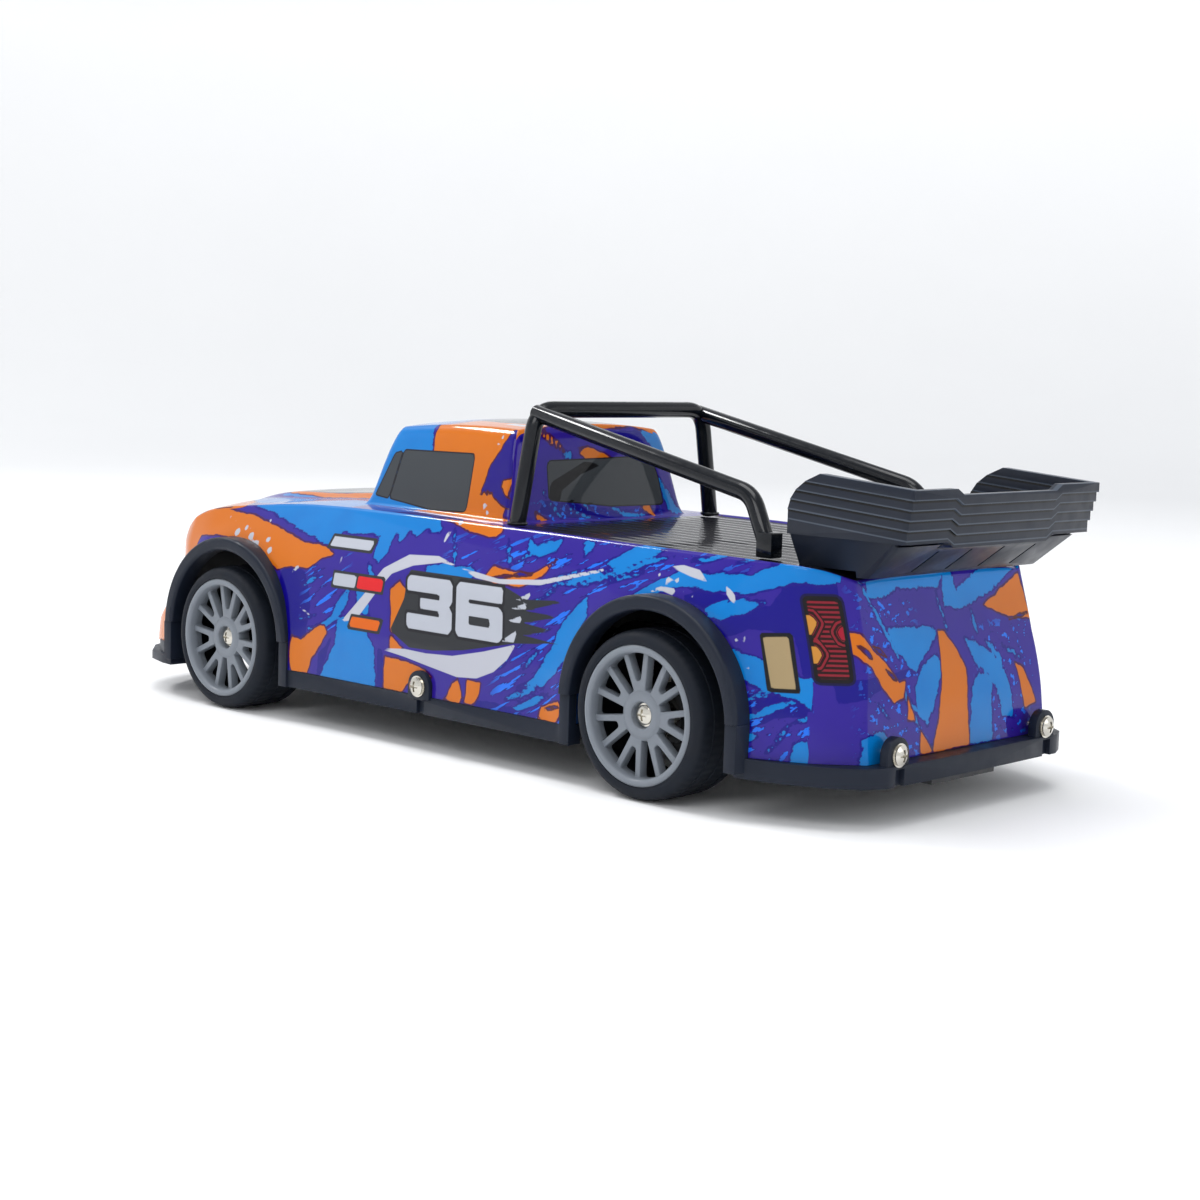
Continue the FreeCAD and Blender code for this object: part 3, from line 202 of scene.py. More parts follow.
class Nodes:
    """Short hand for a node material."""

    def __init__(self, name):
        self.material = bpy.data.materials.new(name)
        self.material.use_nodes = True
        self.tree = self.material.node_tree
        self.shader = self.tree.nodes["Principled BSDF"]

    def add(self, kind, **settings):
        node = self.tree.nodes.new(kind)
        for key, value in settings.items():
            setattr(node, key, value)
        return node

    def link(self, a, b):
        self.tree.links.new(a, b)

    def set(self, **values):
        for key, value in values.items():
            self.shader.inputs[key.replace("_", " ")].default_value = value

    def coords(self, scale=(1, 1, 1), turn=(0, 0, 0)):
        """Object coordinates, turned first and then stretched."""
        place = self.add("ShaderNodeTexCoord")
        spin = self.add("ShaderNodeMapping")
        spin.inputs["Rotation"].default_value = turn
        self.link(place.outputs["Object"], spin.inputs["Vector"])
        stretch = self.add("ShaderNodeMapping")
        stretch.inputs["Scale"].default_value = scale
        self.link(spin.outputs["Vector"], stretch.inputs["Vector"])
        return stretch.outputs["Vector"]

    def axes(self):
        """The object coordinates x, y and z in millimetres."""
        split = self.add("ShaderNodeSeparateXYZ")
        self.link(self.coords((1 / MM, 1 / MM, 1 / MM)), split.inputs[0])
        return [split.outputs[k] for k in "XYZ"]

    def noise(self, scale, detail=3.0, vector=None, rough=0.5):
        n = self.add("ShaderNodeTexNoise")
        n.inputs["Scale"].default_value = scale
        n.inputs["Detail"].default_value = detail
        n.inputs["Roughness"].default_value = rough
        self.link(vector or self.coords(), n.inputs["Vector"])
        return n.outputs["Fac"]

    def math(self, op, a, b=0.0, clamp=False):
        m = self.add("ShaderNodeMath", operation=op, use_clamp=clamp)
        for socket, value in zip(m.inputs, (a, b)):
            if isinstance(value, (int, float)):
                socket.default_value = value
            else:
                self.link(value, socket)
        return m.outputs[0]

    def spread(self, value, low, high, out_low, out_high):
        r = self.add("ShaderNodeMapRange")
        self.link(value, r.inputs["Value"])
        for key, v in (("From Min", low), ("From Max", high), ("To Min", out_low), ("To Max", out_high)):
            r.inputs[key].default_value = v
        return r.outputs["Result"]

    def mix(self, fac, a, b):
        m = self.add("ShaderNodeMix", data_type="RGBA")
        for socket, value in ((m.inputs[0], fac), (m.inputs[6], a), (m.inputs[7], b)):
            if isinstance(value, (int, float, tuple)):
                socket.default_value = value
            else:
                self.link(value, socket)
        return m.outputs[2]

    def bump(self, height, strength, distance):
        b = self.add("ShaderNodeBump")
        b.inputs["Strength"].default_value = strength
        b.inputs["Distance"].default_value = distance
        self.link(height, b.inputs["Height"])
        self.link(b.outputs["Normal"], self.shader.inputs["Normal"])

    def colour(self, socket):
        self.link(socket, self.shader.inputs["Base Color"])


def moulded(name, colour, rough=0.45, grain=2600.0, strength=0.12, wear=0.25, gloss=0.5, painted_shading=None):
    """Satin moulded plastic with a fine spark texture and faint handling wear; an optional function can add
    painted shade and highlights to its colour.
    """
    n = Nodes(name)
    n.set(Specular_IOR_Level=gloss)
    cloud = n.noise(90.0, 4.0)
    light = tuple(min(1.0, c * (1 + wear)) for c in colour[:3]) + (1.0,)
    base = n.mix(cloud, colour, light)
    n.colour(painted_shading(n, base) if painted_shading else base)
    n.link(n.spread(n.noise(240.0, 5.0), 0.3, 0.7, rough - 0.06, rough + 0.08), n.shader.inputs["Roughness"])
    n.bump(n.noise(grain, 2.0), strength, 0.00005)
    return n.material


LAP_FOOT, LAP_H, LAPS = 70.6, 2.5, 5    # the wing's overlapping laps
LAP_SLOPE, LAP_REAR = 0.08, -151.0
NOTCH = (20.8, 23.6, 1.5)               # the laps dip between these distances from the middle, and how far


def lap_painted_shade(n, base):
    """Painted shade, black, under the lip of each lap of the wing, and a painted highlight, paler, along each
    lip.
    """
    x, y, z = n.axes()
    dip = n.spread(n.math("ABSOLUTE", y), NOTCH[0], NOTCH[1], NOTCH[2], 0.0)
    rise = n.math("MULTIPLY", n.math("SUBTRACT", x, LAP_REAR), -LAP_SLOPE)
    level = n.math("ADD", n.math("ADD", z, rise), n.math("SUBTRACT", dip, LAP_FOOT))
    lap = n.math("DIVIDE", level, LAP_H)
    part = n.math("FRACT", lap)
    on_laps = n.spread(lap, 0.0, 0.02, 0.0, 1.0)
    below_top = n.math("MULTIPLY", on_laps, n.spread(lap, LAPS - 1, LAPS - 0.98, 1.0, 0.0))
    # Painted highlight: a paler band at the foot of each lap, where its lip would catch the light. Painted
    # shade: black just under the lip of the lap above.
    lip = n.math("MULTIPLY", n.spread(part, 0.12, 0.18, 1.0, 0.0), on_laps)
    shade_under = n.math("MULTIPLY", n.spread(part, 0.76, 0.82, 0.0, 1.0), below_top)
    return n.mix(shade_under, n.mix(lip, base, linear(66, 74, 86)), (0.0, 0.0, 0.0, 1.0))


def metal(name, colour, rough, stretch=(1, 1, 1)):
    """Bright metal with fine brushing along one axis."""
    n = Nodes(name)
    n.set(Metallic=1.0)
    lines = n.noise(900.0, 4.0, n.coords(stretch))
    n.colour(n.mix(lines, tuple(c * 0.82 for c in colour[:3]) + (1.0,), colour))
    n.link(n.spread(lines, 0.3, 0.7, rough * 0.8, rough * 1.3), n.shader.inputs["Roughness"])
    n.bump(lines, 0.05, 0.00003)
    return n.material


TRIM = moulded("satin_trim", linear(22, 28, 40), 0.4, gloss=0.2)
CAGE = moulded("satin_cage", linear(8, 12, 18), 0.16, 1200.0, 0.02, gloss=0.35)
# The wing's colour carries painted shade under each lap's lip and a painted highlight along it.
WING = moulded("satin_wing", linear(22, 28, 40), 0.34, gloss=0.25, painted_shading=lap_painted_shade)
RIM = moulded("grey_rim", linear(116, 122, 130), 0.34, 2400.0, 0.06, 0.08, 0.3)
# Dark colour for the inside of the rim's barrel: painted shade on what is the same grey plastic.
RIM_PAINTED_SHADE = moulded("rim_inside_painted_shade", linear(18, 20, 24), 0.5, gloss=0.2)
UNDER = moulded("black_chassis", linear(38, 39, 42), 0.5)
ARM = moulded("black_nylon", linear(44, 45, 48), 0.55)
NYLON = moulded("natural_nylon", linear(222, 216, 204), 0.4, 1800.0, 0.08, 0.05)
CASE = moulded("electronics_case", linear(40, 41, 45), 0.4)
RED = moulded("red_switch", linear(176, 32, 26), 0.35)
WRAP = moulded("battery_sleeve", linear(36, 84, 158), 0.22, 700.0, 0.10)
NICKEL = metal("nickel_screw", linear(214, 210, 200), 0.16)
STEEL = metal("turned_steel", linear(178, 179, 182), 0.28, (1, 8, 8))
CAN = metal("motor_can", linear(170, 171, 174), 0.32, (8, 1, 1))
COIL = metal("spring_wire", linear(190, 188, 182), 0.24)


def rubber():
    """Soft dark rubber, dustier in random patches."""
    n = Nodes("tyre_rubber")
    dust = n.noise(160.0, 5.0)
    n.set(Specular_IOR_Level=0.2)
    n.colour(n.mix(dust, linear(14, 18, 26), linear(24, 30, 40)))
    n.link(n.spread(dust, 0.3, 0.7, 0.52, 0.72), n.shader.inputs["Roughness"])
    n.bump(n.noise(2200.0, 3.0), 0.18, 0.00006)
    return n.material


TYRE = rubber()


# ---- body shell ----------------------------------------------------------------------------
TAIL_X, NOSE_X = -138.8, 137.0
PLAN_Y = [(-138.8, 38.9), (-134, 43.6), (-128.5, 48.6), (-122, 51.9), (-112, 54.6), (-98, 56.5),
          (-84, 57.3), (60, 57.3), (90, 57.3), (106, 57), (118, 55.6), (128, 52.4), (133, 49.2),
          (137, 44.4)]
BELT_IN = [(-138.8, 2.6), (-128.5, 4.2), (-118.0, 6.6), (-100.0, 9.4), (-84.0, 10.3), (60.0, 10.3),
           (90.0, 9.0), (112.0, 7.0), (124.0, 5.0), (137.0, 3.6)]
BELT_Z = [(-138.8, 59.6), (-131, 62.2), (-125, 62.9), (-60, 64), (-31, 64.5), (40, 65), (60, 64.7),
          (74, 64), (86, 62.9), (106, 60.6), (119, 57.2), (127, 54.2), (137, 49.8)]
TAIL_LEAN = [(15.0, -2.3), (35.3, 0.0), (60.0, 6.1), (66.0, 7.6)]
NOSE_LEAN = [(15.0, 5.4), (22.0, 4.6), (27.0, 1.4), (33.0, -3.4), (42.0, -6.2), (49.0, -5.0), (56.0, -7.0)]
DECK_RISE = [(-60.0, 0.0), (-20.0, 0.0), (20.0, 1.0), (50.0, 1.6), (75.0, 1.4), (105.0, 3.2), (118.0, 4.6),
             (130.0, 6.6), (137.0, 7.6)]
NOSE_BOW = 6.5
RIB_PITCH, RIB_HEIGHT = 5.6, 0.24       # lengthways ribs of the bed cover
WALL_ROWS = 60
CAB_REAR, CAB_FRONT = (-13.0, 71.0, 5.14), (50.5, 63.3, 3.3)


def belt(x):
    return curve(x, PLAN_Y) - curve(x, BELT_IN), curve(x, BELT_Z)


def wall_point(x, t):
    """Left wall of the shell at station x and height fraction t."""
    top = curve(x, BELT_Z)
    z = BOTTOM_Z + (top - BOTTOM_Z) * t
    depth = curve(x, BELT_IN)
    y = curve(x, PLAN_Y) + curve(t, [(0, 0.5), (0.25, 0.2), (0.5, -1.2), (0.62, -2.0)]) * (t <= 0.62)
    upper = -2.0 - (depth - 2.0) * ((np.clip(t, 0.62, 1) - 0.62) / 0.38) ** 1.35
    y = y + upper * (t > 0.62)
    tail = smooth(-104.0, TAIL_X, x)
    nose = smooth(110.0, NOSE_X, x)
    shift = tail * curve(z, TAIL_LEAN) + nose * curve(z, NOSE_LEAN)
    for centre in ARCH_X:
        reach = np.hypot(x - centre, z - ARCH_Z)
        y = y + 0.9 * np.exp(-((reach - 30.5) / 4.5) ** 2) * smooth(63.0, 50.0, z)
    return x + shift, y, z


def deck(x, y):
    """Height of hood, scuttle and bed cover."""
    half, top = belt(x)
    s = np.clip(np.abs(y) / half, 0, 1)
    hood = curve(x, DECK_RISE) * (1 - s ** 2.4)
    scoop = 1.7 * smooth(27.0, 21.5, np.abs(y)) * smooth(128.0, 96.0, x) * smooth(30.0, 50.0, x)
    lip = 0.7 * smooth(0.985, 0.955, s) * smooth(-10.0, -22.0, x)
    sag = 1.0 * smooth(-117.0, -133.0, x) * (1 - s ** 3)
    on_cover = smooth(-16.0, -24.0, x) * smooth(-122.0, -116.0, x) * smooth(43.5, 40.5, np.abs(y))
    ribs = RIB_HEIGHT * np.cos(2 * np.pi * y / RIB_PITCH) * on_cover
    return top + hood + scoop - lip + sag + ribs


def cab(x, y):
    """Height of the cab over a point of the plan, far below the deck where there is no cab."""
    y = np.abs(y)
    roof = 92.4 - 0.0021 * y ** 2 - 0.0016 * (x - 10.0) ** 2
    side = 66.0 + (36.9 - y) * 3.9
    rear = CAB_REAR[1] + (x - CAB_REAR[0] - 0.0018 * y ** 2) * CAB_REAR[2]
    screen = CAB_FRONT[1] + (CAB_FRONT[0] + 4.5 * (1 - (y / 36.0) ** 2) - x) * CAB_FRONT[2]
    body = soft_min(roof, side, 9.0)
    body = soft_min(body, soft_min(rear, screen, 4.0), 9.0)
    return body


def top_z(x, y):
    return soft_max(deck(x, y), cab(x, y), 5.0)


def stations():
    """Stations along the car, closer together where the cab's ends and the corners are."""
    spans = [(TAIL_X, -118.0, 0.8), (-118.0, -19.0, 1.1), (-19.0, -6.0, 0.4), (-6.0, 36.0, 1.0),
             (36.0, 60.0, 0.5), (60.0, 112.0, 1.1), (112.0, NOSE_X, 0.8)]
    xs = []
    for a, b, step in spans:
        count = max(2, round((b - a) / step))
        xs += list(np.linspace(a, b, count, endpoint=False))
    return np.array(xs + [NOSE_X])


def cross_lines():
    """Fractions of the belt's half width that the deck's lines run along, left to right."""
    spans = [(1.0, 0.955, 4), (0.955, 0.84, 9), (0.84, 0.64, 26), (0.64, 0.0, 44)]
    half = []
    for a, b, count in spans:
        half += list(np.linspace(a, b, count, endpoint=False))
    return np.array(half + [0.0] + [-f for f in reversed(half)])


def shell_grid():
    """Vertices of the shell's main grid as an array [station, line, 3]."""
    ts = np.linspace(0, 1, WALL_ROWS)
    across = cross_lines()
    rows = []
    for x in stations():
        wx, wy, wz = wall_point(np.full(len(ts), x), ts)
        left = np.stack([wx, wy, wz], axis=1)
        bow = NOSE_BOW * smooth(96.0, NOSE_X, x)
        px = wx[-1] + bow * (1 - across[1:-1] ** 2)
        py = wy[-1] * across[1:-1]
        pz = top_z(np.full(len(py), x), py)
        top = np.stack([px, py, pz], axis=1)
        right = left[::-1] * np.array([1, -1, 1])
        rows.append(np.vstack([left, top, right]))
    return np.array(rows)


def end_patch(edge_low_to_high, top_row, bow, bow_at):
    """Grid that closes the nose or the tail between its two side edges, under the deck's last row."""
    rows = []
    high = edge_low_to_high[-1]
    across = top_row[:, 1] / high[1]
    for point in edge_low_to_high[:-1]:
        y = across * point[1]
        x = point[0] + bow * bow_at(point[2]) * (1 - across ** 2)
        rows.append(np.stack([x, y, np.full(len(y), point[2])], axis=1))
    rows.append(top_row)
    return np.array(rows)


def quads(start, rows, cols, flip=False):
    faces = []
    for i in range(rows - 1):
        for j in range(cols - 1):
            a = start + i * cols + j
            q = (a, a + 1, a + cols + 1, a + cols)
            faces.append(q[::-1] if flip else q)
    return faces


# ---- livery --------------------------------------------------------------------------------
# Outlines in millimetres: side ones are (x, z), rear ones (y, z), front ones (y, z). Top ones are (x, y),
# and both halves of the car take the half with positive y.
# Each layer is painted over the one before it.
DIGIT_3 = [(8.2, 48.8), (-8.2, 48.8), (-9.6, 47.4), (-9.6, 42.8), (-8.4, 41.4), (-9.6, 40), (-9.6, 35.4),
           (-8.2, 34), (8.2, 34), (9.2, 35), (9.2, 38.3), (-4.4, 38.3), (-4.4, 39.9), (3.6, 39.9),
           (3.6, 42.9), (-4.4, 42.9), (-4.4, 44.5), (9.2, 44.5), (9.2, 47.8)]
DIGIT_6 = [(8.0, 48.8), (-9.2, 48.8), (-9.2, 44.5), (4.2, 44.5), (4.2, 43.4), (-8.0, 43.4), (-9.4, 42.0),
           (-9.4, 35.4), (-8.0, 34.0), (8.0, 34.0), (9.2, 35.2), (9.2, 47.6)]
DIGIT_6_HOLE = [(4.0, 40.0), (4.0, 37.6), (-4.4, 37.6), (-4.4, 40.0)]


def slanted(outline, dx, lean=0.14):
    """The outline moved along the car and leaned with height."""
    return [(x + dx + lean * (z - 41.0), z) for x, z in outline]


def bar(x0, x1, z0, z1, lean=0.25):
    """Leaning block that stands where a sticker would."""
    return [(x0, z0), (x1, z0), (x1 - lean * (z1 - z0), z1), (x0 - lean * (z1 - z0), z1)]


def stroke(x0, z0, x1, z1, width):
    """Thin brush stroke, pointed at both ends."""
    along = np.array([x1 - x0, z1 - z0], float)
    side = np.array([-along[1], along[0]]) / np.hypot(*along) * width / 2
    a = np.array([x0, z0], float)
    return [a, a + along * 0.3 + side, a + along * 0.75 + side * 0.8, a + along, a + along * 0.6 - side]


def strokes(rows):
    return [stroke(*row) for row in rows]


def dots(places, size):
    return [circle(x, z, size * (0.7 + 0.3 * math.sin(5 * x)), 12) for x, z in places]


SIDE = {
    "streaks": [
        [(-26, 15), (-64, 15), (-66, 36), (-72, 50), (-88, 58), (-118, 64), (-60, 64), (-20, 62),
         (-26, 54), (-50, 50), (-38, 36), (-30, 26)],
        [(-110, 15), (-136, 15), (-136, 33), (-112, 33)], [(34, 28), (52, 26), (56, 52), (38, 52)],
        [(-4, 60), (-16, 60), (-16, 50), (-4, 52)],
    ],
    "deep": [
        [(66, 46), (62, 48), (55, 45), (51, 36), (52, 26), (58, 15), (66, 15), (66, 30)],
        [(-112, 66), (-128, 64), (-137, 60), (-141, 30), (-133, 33), (-127, 37), (-124, 46), (-114, 47),
         (-104, 43), (-97, 48), (-92, 53), (-96, 55), (-106, 54), (-112, 51.5), (-117, 53), (-119, 57)],
        [(-105, 41), (-112, 34), (-118, 32.5), (-112, 27), (-113, 20), (-122, 26), (-130, 27), (-134, 22),
         (-136, 30), (-128, 33), (-120, 40)],
        [(-44, 15), (-36, 17.5), (-18, 17.6), (-14, 15)],
        [(46.5, 15), (46, 22), (40, 28), (43, 20), (43, 15)],
        [(36.6, 15), (35, 26), (31, 40), (30.2, 30), (34, 15)],
        [(17.5, 26.8), (19.6, 26.8), (19.4, 15), (16, 15)],
    ],
    "cyan": [
        [(120, 64), (96, 63.5), (78, 61), (62, 57), (50, 54.4), (44, 54), (44, 58.2), (27, 58.4),
         (27, 52.6), (24, 51), (21.5, 54), (21, 61), (18, 57), (15.5, 61), (12, 59.5), (9, 61.6), (3, 61),
         (5, 64.5), (8, 66), (20, 67.4), (28, 90), (44, 95), (64, 70)],
        [(45, 15), (42.4, 20), (38.6, 26), (38, 33), (31, 35.5), (28, 33), (24, 30), (21, 26.4), (20, 15)],
        [(51, 29), (46, 30.6), (41, 34), (38, 40), (34, 43), (35, 38), (40, 32), (46, 28.6)],
        [(31.4, 42.4), (27.4, 42.4), (24.4, 36), (27, 35.4), (30, 37)],
        [(-32, 62.4), (-35, 60.6), (-44, 63.2), (-43.4, 60), (-38, 57.6), (-33.2, 59)],
        [(-52, 62.8), (-56, 63.4), (-56, 61), (-54, 59)],
        [(-62, 57.8), (-70, 63.4), (-83, 64.6), (-76, 61), (-68, 57.4)],
        [(-73, 49.6), (-81, 55), (-88, 58.6), (-98, 58.8), (-110, 59.6), (-120, 64.4), (-127, 64.6),
         (-134, 61), (-136, 57.4), (-132, 58.4), (-127.5, 58.6), (-122, 58.8), (-112, 55.6), (-99, 54.6),
         (-90, 55.4), (-82, 52)],
        [(-53, 43), (-60, 49.5), (-61.5, 45), (-57, 34), (-50, 27), (-47, 23.4), (-44.5, 27), (-50, 35)],
        [(-100.5, 40.6), (-106, 42.4), (-116, 40), (-127, 36.5), (-140, 33.8), (-134.6, 24.6),
         (-127.5, 30.6), (-117, 33.4), (-107.4, 37)],
        [(-98.5, 50), (-104, 52.8), (-111, 53.6), (-115.4, 53.4), (-111, 50.4), (-105, 48.4)],
        [(4, 51.8), (-4, 53), (-16, 52.6), (-16, 49.8), (-10, 49.6), (3, 50.2)],
        [(-126, 15), (-127, 20), (-132, 22.4), (-143, 21.8), (-143, 15)],
    ] + strokes([
        (-33, 19.4, -47, 24, 1.6), (-36, 16.8, -50, 22.4, 2.2), (-38, 22.6, -53, 29.4, 1.8),
        (-30, 27, -34, 31, 1.2), (-40, 28.4, -45, 33.5, 1.1), (-36.4, 43.6, -48, 50, 1),
        (-40, 50.2, -54, 55.6, 1.1), (-46, 50.8, -66, 57.6, 1.5), (-54, 51.6, -68, 56.6, 1.1),
        (-57, 52.6, -74, 58.6, 1.3), (-62, 53, -76, 57.2, 0.9), (-66, 56.6, -84, 62, 1.2),
        (-90, 61.4, -104, 64.6, 1.5), (-104, 62.4, -115, 64.8, 1.3), (-60.5, 36, -66, 45.5, 1.6),
        (-62.4, 30, -67.4, 38, 1.1), (-113.4, 24.4, -128, 31.2, 1.7), (-114, 29.4, -121, 31.8, 1.2),
        (-112.8, 19.6, -118, 21.2, 2.4), (-121, 17.6, -125.6, 24.6, 0.9), (-127, 25.4, -131.4, 28.2, 0.9),
        (24, 44.8, 28, 50.4, 1.2), (-2, 62.6, -8, 52, 0.9), (56, 41, 49, 45, 1), (56, 31, 48, 33.5, 1.1),
        (-24, 62, -30, 52.4, 0.9), (-30, 55.4, -38, 61, 0.8),
    ]),
    "orange": [
        [(110, 58), (150, 60), (150, 15), (118, 15), (118, 40), (112, 48)],
        [(134, 60), (120, 61.5), (104, 60.6), (88, 59.6), (74, 57.2), (60, 54), (47, 53), (44.4, 51.4),
         (50, 49.6), (54, 46.8), (62, 46.6), (68, 45), (76, 49.5), (90, 53), (112, 52), (128, 42),
         (137, 44)],
        [(26.6, 95), (10, 95), (-9.4, 95), (-9.4, 66), (-15, 64.6), (-19.6, 64.8), (-20.5, 63.4),
         (-19, 61.6), (-14.5, 61.6), (-9.5, 62.2), (0, 64.4), (10, 65.6), (19.4, 65.8), (20.4, 67),
         (25.4, 84)],
        [(43.8, 30.6), (46.6, 30.2), (54, 25.6), (57.6, 26.2), (58.6, 20), (57.4, 15.7), (51, 15.7),
         (49.4, 20), (45, 25), (42.6, 28.6)],
        [(16.6, 44), (13.2, 46.6), (9.4, 44), (10.4, 32.6), (14.4, 32.4)],
        [(14.2, 30.8), (8.4, 27.8), (14.4, 26.8)],
        [(16.2, 24.8), (6, 24.4), (-1, 23), (-4, 21.4), (4.8, 19.8), (8.4, 15.7), (16.4, 15.7)],
        [(-9.4, 15.7), (-12.4, 20.6), (-14.6, 22.2), (-16.6, 17.4), (-15.4, 15.7)],
        [(-17.6, 16.2), (-18.4, 22.4), (-23.6, 22.4), (-23, 18.4), (-20.6, 15.9)],
        [(-19.6, 50.2), (-22.6, 53.9), (-31, 53.4), (-37.6, 53), (-44.8, 57.8), (-41.6, 53.2),
         (-34.6, 49.6)],
        [(-46.4, 15.7), (-47.4, 19), (-54.8, 21.6), (-55, 17.6), (-53.4, 15.7)],
        [(146, 24.4), (134, 23.6), (131.4, 15), (146, 15)],
    ],
    "torn": [
        [(-5.6, 90.4), (-3.4, 84.6), (-0.4, 80.4), (0.8, 74.6), (1.6, 71.4), (-1, 73.4), (-1.2, 71.2),
         (-2.6, 74), (-3.8, 71.6), (-7.4, 69.4), (-12, 68), (-12, 70), (-8, 72), (-5.4, 75), (-6.4, 76.4),
         (-12, 77.6), (-12, 91.4)],
    ] + strokes([
        (118, 60.4, 100, 61.6, 0.8), (126, 56, 112, 59.4, 0.9), (-25, 51.6, -38, 53.4, 0.6),
        (-22, 50.8, -30, 51.6, 0.5), (-48.4, 18.6, -55, 20.2, 0.5),
    ]),
    "white": [
        [(36.6, 32.6), (30, 33.8), (23, 42), (17, 48.4), (9, 51.4), (-2, 53.2), (-17, 51.9), (-26, 50.9),
         (-42, 52.2), (-62, 56.9), (-63, 56.3), (-42, 50.8), (-27, 49.7), (-17, 50.4), (-12, 52),
         (0, 54.8), (12, 54.2), (21, 49.6), (26.8, 42.5)],
        [(19.4, 26.9), (8, 28), (-1, 27.8), (-12, 28.4), (-24, 31), (-36.4, 34.4), (-33.6, 30),
         (-28.6, 26), (-22, 23.4), (-14, 22.8), (-2, 24.4), (8, 25.8)],
        [(-84, 59.4), (-88, 60.2), (-94, 59.4), (-97.4, 56.8), (-92, 57.6)],
        [(-80.5, 52.6), (-83.5, 54.6), (-89, 54.4), (-89, 52.7), (-84.6, 53.6)],
        stroke(-92.6, 51.4, -98.4, 47.4, 0.9), stroke(-103.4, 56.6, -107.8, 52.4, 1.8),
        stroke(62, 44.6, 58, 47.2, 1.2), stroke(56, 35, 50, 32.6, 0.6), stroke(40.4, 48.6, 40.2, 52, 0.6),
        stroke(0.4, 58.2, -0.8, 62.4, 1.5), stroke(84, 53, 78, 49.6, 1.6),
        stroke(-112, 45.4, -112.8, 42.6, 0.5),
    ] + dots([
        (92, 54.2), (99, 58.2), (88.6, 55.8), (84.6, 53.6), (80.6, 51.6), (77.4, 50), (76, 53.2),
        (73.4, 50.2), (79, 58.6),
    ], 1.25) + dots([
        (95.4, 57.6), (91.4, 56.8), (86.6, 56), (-81.6, 57.2), (-91.2, 54.2), (-97.6, 50.2), (-110.4, 44),
        (-114.2, 37.6), (-105.2, 42.6), (-107.4, 38.4), (-77, 56), (-2.2, 88),
    ], 0.6) + dots([
        (-85.4, 56.2), (-88, 56.4), (-94.6, 53.2), (-1.4, 86), (-3, 66.6), (-3.2, 64.4), (-1.2, 68.4),
    ], 1.15),
    "charcoal": [
        [(14.8, 32.6), (6, 28.6), (-4, 28.9), (-16, 30.4), (-36, 34.6), (-52, 36.2), (-38, 37.2),
         (-50, 39.4), (-38, 40.4), (-52, 43.4), (-38, 43.6), (-54, 47.8), (-38, 46.6), (-30, 48.9),
         (-22, 50), (-10, 50.2), (9.8, 50.2), (10.4, 42)],
        bar(48.4, 28, 53, 57.4), bar(43, 19.6, 42, 47.2, 0.1), bar(33.8, 19.2, 30.8, 35.4, 0.3),
    ],
    "number": [slanted(DIGIT_3, -0.2), slanted(DIGIT_6, -20.6)],
    "number_hole": [slanted(DIGIT_6_HOLE, -20.6)],
    "fins": [
        [(-33, 45.6), (-39.6, 48.9), (-39, 47)], [(-32, 43.4), (-38.8, 45.9), (-38.4, 44)],
        [(-31.2, 40), (-37.4, 42.3), (-37, 40.2)], [(-30.4, 34.6), (-36.2, 38.4), (-35.4, 34.8)],
        bar(47.2, 29, 53.8, 56.6), bar(42.2, 32.2, 42.8, 46.4, 0.1),
    ],
    "red": [bar(31.4, 20.4, 42.8, 46.4, 0.1)],
    "badge": [bar(32.8, 20.2, 31.6, 34.6, 0.3)],
    "glass": [
        rounded([(37.6, 82.2), (7.4, 82.6), (6.2, 66.4), (20, 66), (39.6, 68)], 0.9),
        rounded([(38.6, 81.8), (40.4, 68), (46.2, 68.6), (41.4, 81)], 0.5),
    ],
    "amber": [[(-116.6, 45.2), (-122.6, 45.8), (-126.2, 33.4), (-120.6, 33.2)]],
    "amber_frame": [rounded([(-115.6, 46.2), (-123.4, 46.8), (-127.4, 32.4), (-119.8, 32.2)], 0.6)],
}
